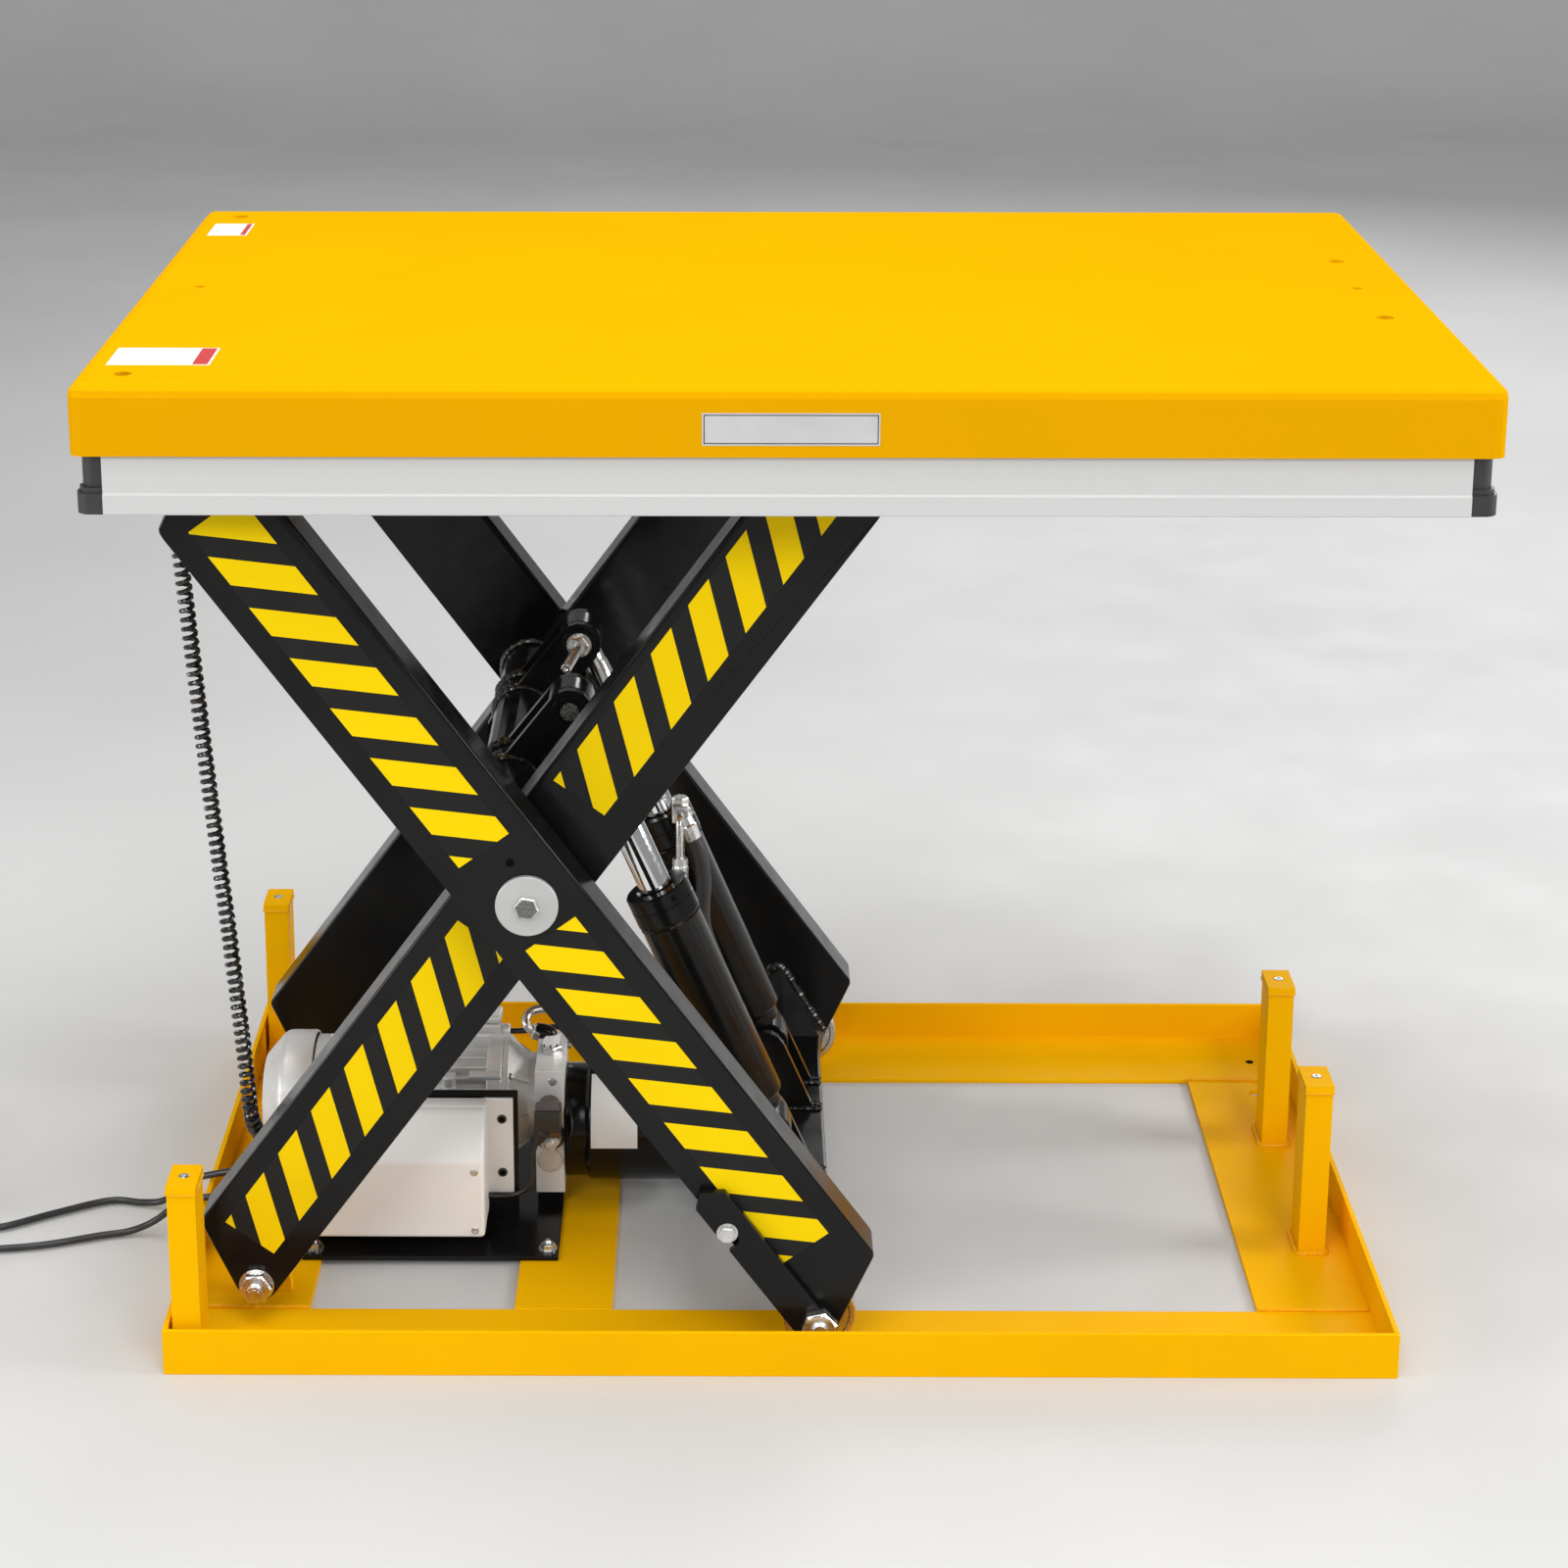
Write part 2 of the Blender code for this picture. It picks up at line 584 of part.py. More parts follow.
def cylinders():
    foot, head = Vector(CYLINDER_FOOT), Vector(CYLINDER_HEAD)
    line = (head - foot).normalized()
    length = (head - foot).length

    def pair(side, word):
        y = side * CYLINDER_Y
        start = (foot.x, foot.y, y)
        barrel = turned([(0.022, 0), (0.022, 0.026), (0.040, BARREL_RADIUS), (0.262, BARREL_RADIUS),
                         (0.262, 0.034), (0.296, 0.034), (0.296, ROD_RADIUS + BORE_CLEARANCE),
                         (0.272, ROD_RADIUS + BORE_CLEARANCE), (0.272, 0.0268), (0.040, 0.0268), (0.040, 0)],
                        "Z", (0, 0, 0))
        barrel = placed_along(barrel, start, line)
        eye = rod((foot.x, y - 0.020, foot.y), (foot.x, y + 0.020, foot.y), 0.026, 20)
        barrel = join(barrel, eye)
        barrel = cut(barrel, rod((foot.x, y - 0.03, foot.y), (foot.x, y + 0.03, foot.y), 0.0153, 16))
        finish(barrel, f"cylinder_barrel_{word}", "black_paint", GROUPS["cylinder_barrels"])

        inner = length - 0.279
        piston = turned([(inner, 0), (inner, 0.0262), (inner + 0.025, 0.0262), (inner + 0.025, ROD_RADIUS),
                         (length - 0.006, ROD_RADIUS), (length - 0.006, 0)], "Z", (0, 0, 0))
        piston = placed_along(piston, start, line)
        eye = rod((head.x, y - 0.0172, head.y), (head.x, y + 0.0172, head.y), 0.0235, 20)
        piston = join(piston, eye)
        piston = cut(piston, rod((head.x, y - 0.03, head.y), (head.x, y + 0.03, head.y), 0.0105, 16))
        finish(piston, f"cylinder_rod_{word}", "chrome", GROUPS["cylinder_rods"])
    both_sides(pair)


# ---- maintenance prop ---------------------------------------------------------------------
def safety_prop():
    end, start = ARM_PIN_ALONG, 0.340
    low, high = -0.0575, -0.0230
    notch = [(a, n) for a, n in arc((0.398, -0.0505), 0.0100, 0.0, 180.0, 8)]
    outline = [(0.4080, low)] + notch + [(0.3880, low), (start + 0.012, low), (start, low + 0.014),
                                         (start + 0.014, high), (end, high)]
    outline += arc((end, -ARM_PIN_OFFSET), 0.0190, 60.0, -60.0, 8) + [(end - 0.006, low)]
    # The outline is read on the falling arm, whose lower end is at positive distances.
    body = plate([on_arm(-1, outline), circle(BOTTOM_ROLLER, AXLE_RADIUS + BORE_CLEARANCE)], "XZ", -0.3650, -0.3570)
    finish(body, "safety_prop", "black_paint", GROUPS["safety_prop"])


# ---- table --------------------------------------------------------------------------------
def table_top():
    half_x, half_y = DECK_LENGTH / 2, DECK_WIDTH / 2
    low = DECK_TOP - DECK_SKIRT

    def pan(inset, bottom):
        reach_x, reach_y = half_x - inset, half_y - inset
        shape = bmesh.new()
        height = DECK_TOP - inset - bottom
        bmesh.ops.create_cube(shape, size=1.0, matrix=Matrix.Diagonal((2 * reach_x, 2 * reach_y, height, 1.0)))
        shape.transform(Matrix.Translation((0, 0, bottom + height / 2)))
        edges = [edge for edge in shape.edges if max(v.co.z for v in edge.verts) > bottom + height / 2]
        bmesh.ops.bevel(shape, geom=edges, offset=DECK_BEND - inset, segments=3, profile=0.5, affect="EDGES")
        mesh = bpy.data.meshes.new("pan")
        shape.to_mesh(mesh)
        shape.free()
        obj = bpy.data.objects.new("pan", mesh)
        PARTS.objects.link(obj)
        return obj

    body = cut(pan(0.0, low), pan(DECK_SHEET, low - 0.02))
    eye_bolt_holes = [(-0.605, -0.381), (-0.605, 0.381), (0.591, -0.137), (0.591, 0.137)]
    for x, y in eye_bolt_holes:
        body = cut(body, rod((x, y, DECK_TOP - 0.02), (x, y, DECK_TOP + 0.02), 0.0085, 16))
    for x in (-0.593, 0.588):
        body = cut(body, rod((x, 0, DECK_TOP - 0.02), (x, 0, DECK_TOP + 0.02), 0.005, 12))
    finish(body, "table_top", "yellow_paint", GROUPS["table"])


def table_frame():
    top = DECK_TOP - DECK_SHEET - GAP
    track = TOP_ROLLER.y + ROLLER_RADIUS + GAP
    x, z = TABLE_PIN

    def rail(side, word):
        profile = [(0.199, track), (0.243, track), (0.243, top), (0.239, top), (0.239, track + 0.005),
                   (0.203, track + 0.005), (0.203, top), (0.199, top)]
        body = plate([[(side * y, z) for y, z in profile]], "YZ", -0.580, 0.600)
        y_low, y_high = across(side, 0.241, 0.300)
        body = join(body, box((x - 0.032, y_low, 0.985), (x + 0.032, y_high, top - 0.002)))
        lug = rounded([(x - 0.030, top - 0.004, 0), (x - 0.018, z - 0.0205, 0.015), (x + 0.018, z - 0.0205, 0.015),
                       (x + 0.030, top - 0.004, 0)])
        hole = circle((x, z), PIN_RADIUS + BORE_CLEARANCE)
        body = join(body, plate([lug, hole], "XZ", *across(side, 0.2925, 0.3025)))
        finish(body, f"table_rail_{word}", "black_paint", GROUPS["table"])

        steps = [(0.2805, 0), (0.2805, 0.0145), (0.2922, 0.0145), (0.2922, PIN_RADIUS), (0.3553, PIN_RADIUS),
                 (0.3553, 0.0150), (0.3640, 0.0150), (0.3640, 0)]
        finish(pin(steps, side, TABLE_PIN), f"table_pivot_pin_{word}", "zinc_steel", GROUPS["table"])
    both_sides(rail)


def trip_frame():
    low, lip, high = 0.892, 0.910, 0.970

    def long_bar(side, word):
        profile = [(0.4205, low), (0.4205, lip), (0.4185, lip + 0.002), (0.4185, high), (0.4010, high), (0.4010, low)]
        body = plate([[(side * y, z) for y, z in profile]], "YZ", -0.6215, 0.6215)
        finish(body, f"trip_bar_{word}", "aluminium", GROUPS["trip_frame"])
    both_sides(long_bar)
    for side, word in ((-1, "left"), (1, "right")):
        profile = [(0.6445, low), (0.6445, lip), (0.6425, lip + 0.002), (0.6425, high), (0.6225, high), (0.6225, low)]
        body = plate([[(side * x, z) for x, z in profile]], "XZ", -0.4005, 0.4005)
        finish(body, f"trip_bar_{word}", "aluminium", GROUPS["trip_frame"])


# ---- power unit ---------------------------------------------------------------------------
def power_unit():
    floor = RAIL_SHEET + GAP
    body = box((-0.500, -0.171, floor), (-0.230, 0.130, floor + 0.005))
    body = join(body, box((-0.500, -0.0970, floor + 0.002), (-0.275, -0.0935, 0.165)))
    body = join(body, box((-0.258, -0.045, floor + 0.002), (-0.230, 0.035, 0.0245)))
    finish(body, "power_unit_plate", "black_paint")

    axis = (0, 0, MOTOR_AXIS_Z)
    bore = 0.0095
    housing = turned([(-0.5000, 0.066), (-0.4920, 0.0675), (-0.2945, 0.0675), (-0.2945, 0.056), (-0.4920, 0.056),
                      (-0.4920, bore), (-0.5000, bore)], "X", axis, 20)
    finish(housing, "motor_housing", "aluminium")

    cover = turned([(-0.5550, 0.052), (-0.5480, 0.068), (-0.5300, 0.072), (-0.5003, 0.072), (-0.5003, 0.0695),
                    (-0.5300, 0.0695), (-0.5460, 0.0655), (-0.5525, 0.052), (-0.5525, 0.030), (-0.5550, 0.030)],
                   "X", axis, 20)
    finish(cover, "motor_fan_cover", "aluminium")

    bell = turned([(-0.2942, 0.0675), (-0.2880, 0.0675), (-0.2680, 0.048), (-0.2595, 0.048), (-0.2595, bore),
                   (-0.2670, bore), (-0.2670, 0.040), (-0.2942, 0.050)], "X", axis, 20)
    finish(bell, "bell_housing", "aluminium")

    rotor = turned([(-0.5420, 0), (-0.5420, 0.014), (-0.5360, 0.014), (-0.5360, 0.055), (-0.5180, 0.055),
                    (-0.5180, 0.014), (-0.5090, 0.014), (-0.5090, 0.0085), (-0.4650, 0.0085), (-0.4650, 0.045),
                    (-0.3350, 0.045), (-0.3350, 0.0085), (-0.2620, 0.0085), (-0.2620, 0)], "X", axis, 16)
    finish(rotor, "motor_rotor", "zinc_steel", GROUPS["motor_rotor"])

    box_body = box((-0.400, 0.0690, 0.100), (-0.305, 0.1000, 0.172), bevel=0.003)
    finish(box_body, "terminal_box", "aluminium")

    block = box((-0.2592, -0.055, 0.0248), (-0.2280, 0.045, 0.168), bevel=0.001)
    block = join(block, rod((-0.2440, -0.005, 0.160), (-0.2440, -0.005, 0.190), 0.010, 16))
    finish(block, "valve_block", "aluminium")

    coil = rod((-0.2436, -0.0553, 0.128), (-0.2436, -0.090, 0.128), 0.0125, 16)
    coil = join(coil, box((-0.2576, -0.102, 0.112), (-0.2296, -0.078, 0.144), bevel=0.002))
    finish(coil, "solenoid_valve", "black_plastic")

    radius, wall = 0.065, 0.003
    tank = turned([(-0.2277, radius - 0.004), (-0.2050, radius - 0.004), (-0.2000, radius), (-0.0820, radius),
                   (-0.0730, radius - 0.007), (-0.0700, radius - 0.018), (-0.0700, 0), (-0.0730, 0),
                   (-0.0730, radius - 0.020), (-0.0820, radius - wall - 0.003), (-0.2000, radius - wall),
                   (-0.2277, radius - 0.008)], "X", (0, -0.005, 0.0885), 20)
    finish(tank, "oil_tank", "black_paint")


def control_box():
    left, right, low, high, wall = -0.505, -0.307, 0.030, 0.158, 0.003
    back, split = -0.0973, -0.1180
    tray = box((left, split, low), (right, back, high))
    tray = cut(tray, box((left + wall, split - 0.01, low + wall), (right - wall, back - wall, high - wall)))
    flange = box((right - 0.001, back - 0.003, 0.048), (-0.280, back, high))
    flange = cut(flange, *[rod((-0.292, back - 0.02, z), (-0.292, back + 0.02, z), 0.0025, 12) for z in (0.072, 0.134)])
    tray = join(tray, flange)
    glands = ((-0.1080, 0.050), (-0.1080, 0.085), (-0.1080, 0.120))
    for y, z in glands:
        tray = join(tray, rod((left + 0.001, y, z), (left - 0.016, y, z), 0.0075, 12))
    finish(tray, "control_box", "white_plastic")

    def side(inset):
        front = -0.168 + inset
        return [(split - GAP + (0.01 if inset else 0), low + inset), (front, low + inset),
                (front, 0.118 - inset * 0.4), (-0.130 + inset * 0.4, high - inset),
                (split - GAP + (0.01 if inset else 0), high - inset)]
    cover = plate([side(0.0)], "YZ", left, right)
    cover = cut(cover, plate([side(wall)], "YZ", left + wall, right - wall))
    finish(cover, "control_box_cover", "white_plastic")


# ---- cords and the pendant ------------------------------------------------------------------
CURL_ROUTE = [(-0.6140, -0.150, 1.0100), (-0.6085, -0.150, 0.900), (-0.5950, -0.150, 0.720), (-0.5795, -0.150, 0.520),
              (-0.5645, -0.150, 0.350), (-0.5555, -0.150, 0.235), (-0.5520, -0.146, 0.170), (-0.5500, -0.128, 0.137),
              (-0.5430, -0.1080, 0.120), (-0.5218, -0.1080, 0.120)]
MAINS_ROUTE = [(-0.5218, -0.1080, 0.0500), (-0.5380, -0.1080, 0.0500), (-0.5700, -0.1200, 0.0540),
               (-0.6080, -0.1290, 0.0560), (-0.6360, -0.1200, 0.0440), (-0.6650, -0.1120, 0.0190),
               (-0.6920, -0.1115, 0.0068), (-0.7220, -0.1190, 0.0056), (-0.7750, -0.1390, 0.0056),
               (-0.8200, -0.1480, 0.0056), (-0.8700, -0.1513, 0.0056), (-0.9020, -0.1513, 0.0056)]
PENDANT_ROUTE = [(-0.5218, -0.1080, 0.0850), (-0.5380, -0.1070, 0.0845), (-0.5700, -0.0910, 0.0700),
                 (-0.6080, -0.0770, 0.0560), (-0.6360, -0.0650, 0.0420), (-0.6630, -0.0520, 0.0130),
                 (-0.6900, -0.0440, 0.0056), (-0.7260, -0.0400, 0.0056), (-0.7800, -0.0690, 0.0056),
                 (-0.8300, -0.1000, 0.0056), (-0.8700, -0.1087, 0.0056), (-0.9020, -0.1087, 0.0056)]
MAINS_COIL = (-0.930, -0.200)
PENDANT_COIL = (-0.930, -0.060)
PENDANT_X = -0.975
BUTTON_PLACES = {"up_button": 0.045, "down_button": 0.080, "stop_button": 0.120}


def coil(centre):
    """The outer shape of a round coil lying on the floor, three turns wide and four high."""
    outer, inner = COIL_RADIUS + COIL_WRAP, COIL_RADIUS - COIL_WRAP
    low, high, ease = 0.0003, 0.0303, 0.003
    return turned([(low, outer - ease), (low + ease, outer), (high - ease, outer), (high, outer - ease),
                   (high, inner + ease), (high - ease, inner), (low + ease, inner), (low, inner + ease)],
                  "Z", (centre[0], centre[1], 0), 20)


def cords():
    curl = as_mesh(tube(smooth_route(CURL_ROUTE, 0.035), CURL_RADIUS))
    finish(curl, "curly_cord", "cable_rubber")
    for word, route, centre in (("mains", MAINS_ROUTE, MAINS_COIL), ("pendant", PENDANT_ROUTE, PENDANT_COIL)):
        cable = as_mesh(tube(smooth_route(route, 0.020), CABLE_RADIUS))
        finish(cable, f"{word}_cable", "cable_rubber")
        finish(coil(centre), f"{word}_cable_coil", "cable_rubber")


def mains_plug():
    x, radius = -0.975, 0.020
    body = turned([(-0.3390, 0), (-0.3390, 0.017), (-0.3350, radius), (-0.2990, radius), (-0.2850, 0.012),
                   (-0.2650, 0.008), (-0.2650, 0)], "Y", (x, 0, radius + GAP), 24)
    for angle in (90, 210, 330):
        dx, dz = 0.0095 * math.cos(math.radians(angle)), 0.0095 * math.sin(math.radians(angle))
        pin_z = radius + GAP + dz
        body = join(body, rod((x + dx, -0.3370, pin_z), (x + dx, -0.3590, pin_z), 0.0024, 12))
    finish(body, "mains_plug", "black_plastic")


def pendant():
    low, high = GAP, 0.0360
    x, half_x = PENDANT_X, 0.0260
    y_low, y_high = 0.005, 0.155
    body = box((x - half_x, y_low, low), (x + half_x, y_high, high), bevel=0.004)
    places = BUTTON_PLACES
    pockets = [rod((x, y, high - 0.011), (x, y, high + 0.01), 0.0080 if name == "stop_button" else 0.0108, 20)
               for name, y in places.items()]
    finish(cut(body, *pockets), "pendant_housing", "yellow_paint")
    for name, paint in (("up_button", "green_plastic"), ("down_button", "black_plastic")):
        cap = turned([(high - 0.005, 0), (high - 0.005, 0.010), (high + 0.005, 0.010), (high + 0.006, 0.009),
                      (high + 0.006, 0)], "Z", (x, places[name], 0), 20)
        finish(cap, name, paint, GROUPS[name])
    cap = turned([(high - 0.006, 0), (high - 0.006, 0.0070), (high + 0.0055, 0.0070), (high + 0.0055, 0.0140),
                  (high + 0.0100, 0.0140), (high + 0.0130, 0.0100), (high + 0.0140, 0)], "Z",
                 (x, places["stop_button"], 0), 20)
    finish(cap, "stop_button", "red_plastic", GROUPS["stop_button"])


# ---- the tree of moving groups --------------------------------------------------------------
def make_groups():
    places = {
        "base": (None, (0, 0, 0)),
        "inner_arms": ("base", (BASE_PIN.x, 0, BASE_PIN.y)),
        "outer_arms": ("inner_arms", (CENTRE.x, 0, CENTRE.y)),
        "table": ("outer_arms", (TABLE_PIN.x, 0, TABLE_PIN.y)),
        "trip_frame": ("table", (0, 0, 0.930)),
        "safety_prop": ("outer_arms", (BOTTOM_ROLLER.x, -0.361, BOTTOM_ROLLER.y)),
        "cylinder_barrels": ("outer_arms", (CYLINDER_FOOT[0], 0, CYLINDER_FOOT[1])),
        "cylinder_rods": ("cylinder_barrels", (CYLINDER_HEAD[0], 0, CYLINDER_HEAD[1])),
        "motor_rotor": ("base", (-0.400, 0, MOTOR_AXIS_Z)),
    }
    for name, y in BUTTON_PLACES.items():
        places[name] = ("base", (PENDANT_X, y, 0.036))
    for side, word in ((-1, "front"), (1, "rear")):
        places[f"bottom_roller_{word}"] = ("outer_arms", (BOTTOM_ROLLER.x, side * BOTTOM_ROLLER_Y, BOTTOM_ROLLER.y))
        places[f"top_roller_{word}"] = ("inner_arms", (TOP_ROLLER.x, side * TOP_ROLLER_Y, TOP_ROLLER.y))
    for name, (parent, place) in places.items():
        empty = bpy.data.objects.new(f"{name}_axis", None)
        PARTS.objects.link(empty)
        empty.empty_display_size = 0.05
        empty.matrix_world = Matrix.Translation(place)
        bpy.context.view_layer.update()
        if parent:
            empty.parent = GROUPS[parent]
            empty.matrix_parent_inverse = GROUPS[parent].matrix_world.inverted()
        bpy.context.view_layer.update()
        GROUPS[name] = empty


clear_scene()
PARTS = new_collection("scissor_lift_table")
GROUPS = {}
make_groups()
base_rails()
base_ends()
base_pivots()
scissor_arms()
rollers()
cross_members()
cylinders()
safety_prop()
table_top()
table_frame()
trip_frame()
power_unit()
control_box()
cords()
mains_plug()
pendant()
GROUPS["base"].location.x = BASE_CENTRE_X
bpy.context.view_layer.update()
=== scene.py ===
"""The looks of the scissor lift table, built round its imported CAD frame. Metres, +Z up, -Y the front.

Places are given from the middle of the base by at(), along and across an arm by on_arm(), or along
and beside a lifting cylinder by on_cylinder().
"""
import math

import bmesh
import bpy
from mathutils import Matrix, Vector, noise


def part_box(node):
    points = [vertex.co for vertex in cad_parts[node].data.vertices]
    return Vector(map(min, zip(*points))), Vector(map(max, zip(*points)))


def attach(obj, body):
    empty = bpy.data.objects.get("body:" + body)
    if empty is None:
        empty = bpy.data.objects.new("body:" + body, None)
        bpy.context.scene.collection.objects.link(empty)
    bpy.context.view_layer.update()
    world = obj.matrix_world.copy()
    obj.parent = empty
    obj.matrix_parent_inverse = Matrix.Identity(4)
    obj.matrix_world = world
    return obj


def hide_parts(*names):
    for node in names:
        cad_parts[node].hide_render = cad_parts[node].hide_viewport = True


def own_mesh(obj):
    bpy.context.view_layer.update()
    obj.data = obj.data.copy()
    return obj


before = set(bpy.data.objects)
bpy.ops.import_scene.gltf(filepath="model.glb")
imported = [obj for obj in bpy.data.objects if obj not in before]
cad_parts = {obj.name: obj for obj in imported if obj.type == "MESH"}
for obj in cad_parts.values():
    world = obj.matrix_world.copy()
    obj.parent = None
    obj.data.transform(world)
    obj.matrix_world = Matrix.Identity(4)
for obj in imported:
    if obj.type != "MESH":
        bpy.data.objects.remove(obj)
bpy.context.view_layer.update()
SCENE = bpy.context.scene

# ---- places read from the frame -----------------------------------------------------------
RAIL_LOW, RAIL_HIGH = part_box("base_front_rail")
MIDDLE = (RAIL_LOW.x + RAIL_HIGH.x) / 2
DECK_LOW, DECK_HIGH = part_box("table_top")
DECK_TOP = DECK_HIGH.z

ARM_ANGLE = math.radians(53.7)
OUTER_FACE = {"inner": 0.29, "outer": 0.355}     # distance of an arm's outer face from the middle plane
CENTRE = (-0.24545, 0.48489)
BASE_PIN = (-0.53, 0.0425)
TABLE_PIN = (-0.53, 0.9273)
BOTTOM_ROLLER = (0.0392, 0.0425)
TOP_ROLLER = (0.0392, 0.9273)
FOOT = Vector((-0.0104, 0.132))
HEAD = Vector((-0.213, 0.6045))
CYLINDER_Y = 0.11
CYLINDER_LINE = (HEAD - FOOT).normalized()
CYLINDER_LENGTH = (HEAD - FOOT).length
CYLINDER_AXIS = Vector((CYLINDER_LINE.x, 0, CYLINDER_LINE.y))
MOTOR_Z = 0.112
CABLE_RADIUS = 0.00375
SIDES = ((-1, "front"), (1, "rear"))
UP, FRONT, BACK, LEFT, RIGHT = (0, 0, 1), (0, -1, 0), (0, 1, 0), (-1, 0, 0), (1, 0, 0)


def at(x, y, z):
    return Vector((MIDDLE + x, y, z))


def on_pin(pin, y):
    """The place of a pin or roller's axis, so far behind the middle plane."""
    return at(pin[0], y, pin[1])


def on_arm(arm, along, across, y):
    """A point on the rising inner arm or the falling outer arm, from the centre pivot."""
    rise = 1 if arm == "inner" else -1
    cos, sin = math.cos(ARM_ANGLE), math.sin(ARM_ANGLE)
    x, z = cos * along - rise * sin * across, rise * sin * along + cos * across
    return at(CENTRE[0] + x, y, CENTRE[1] + z)


def on_cylinder(along, beside, y):
    """A point up a lifting cylinder from its foot and to the right of its axis."""
    place = FOOT + CYLINDER_LINE * along + Vector((CYLINDER_LINE.y, -CYLINDER_LINE.x)) * beside
    return at(place.x, y, place.y)


def on_motor(x, radius, angle):
    """A point round the motor's axis."""
    return at(x, radius * math.cos(angle), MOTOR_Z + radius * math.sin(angle))


# ---- camera -------------------------------------------------------------------------------
def make_camera():
    data = bpy.data.cameras.new("camera")
    data.sensor_width = 36.0
    data.lens = 76.37
    data.shift_x, data.shift_y = 0.05, -0.1875
    camera = bpy.data.objects.new("camera", data)
    SCENE.collection.objects.link(camera)
    camera.location = at(-0.0541, -3.3271, 1.7223)
    camera.rotation_euler = (math.pi / 2 - 0.2703, 0.0, 0.0066)
    SCENE.camera = camera


# ---- materials ----------------------------------------------------------------------------
class Look:
    """A procedural material under construction, over the coordinates of the frame."""

    def __init__(self, name, roughness, metallic, coat, specular):
        self.material = bpy.data.materials.new(name)
        self.material.use_nodes = True
        self.tree = self.material.node_tree
        self.shader = self.tree.nodes["Principled BSDF"]
        self.shader.inputs["Metallic"].default_value = metallic
        self.shader.inputs["Roughness"].default_value = roughness
        self.shader.inputs["Coat Weight"].default_value = coat
        self.shader.inputs["Coat Roughness"].default_value = 0.06
        self.shader.inputs["Specular IOR Level"].default_value = specular
        self.place = self.tree.nodes.new("ShaderNodeTexCoord").outputs["Object"]

    def node(self, kind, source, socket, numbers):
        """A new node with a source on one input and numbers on others."""
        node = self.tree.nodes.new(kind)
        for name, number in numbers.items():
            node.inputs[name].default_value = number
        self.tree.links.new(source, node.inputs[socket])
        return node

    def noise(self, scale, detail, stretch):
        mapping = self.node("ShaderNodeMapping", self.place, "Vector", {"Scale": stretch})
        node = self.node("ShaderNodeTexNoise", mapping.outputs["Vector"], "Vector",
                         {"Scale": scale, "Detail": detail})
        return node.outputs["Fac"]

    def spread(self, value, low, high):
        """The middle of a noise's range, laid out between low and high."""
        limits = {"From Min": 0.35, "From Max": 0.65, "To Min": low, "To Max": high}
        return self.node("ShaderNodeMapRange", value, "Value", limits).outputs["Result"]

    def colour(self, factor, first, second):
        node = self.tree.nodes.new("ShaderNodeMix")
        node.data_type = "RGBA"
        self.tree.links.new(factor, node.inputs["Factor"])
        node.inputs["A"].default_value = (*first, 1.0)
        node.inputs["B"].default_value = (*second, 1.0)
        self.tree.links.new(node.outputs["Result"], self.shader.inputs["Base Color"])

    def roughness(self, factor):
        self.tree.links.new(factor, self.shader.inputs["Roughness"])

    def bump(self, height, strength, depth):
        node = self.node("ShaderNodeBump", height, "Height", {"Strength": strength, "Distance": depth})
        self.tree.links.new(node.outputs["Normal"], self.shader.inputs["Normal"])


def make_look(name, colour, shade, rough, grain, metallic=0.0, coat=0.0, blotch=5.0,
              stretch=(1.0, 1.0, 1.0), specular=0.5):
    """A finish whose colour and roughness drift in soft blotches over a fine raised grain."""
    look = Look(name, rough[0], metallic, coat, specular)
    look.colour(look.spread(look.noise(blotch, 5.0, stretch), 0.0, 1.0), colour, shade)
    look.roughness(look.spread(look.noise(blotch * 4.0, 4.0, stretch), rough[0], rough[1]))
    look.bump(look.noise(grain[0], 2.0, stretch), grain[1], grain[2])
    return look.material


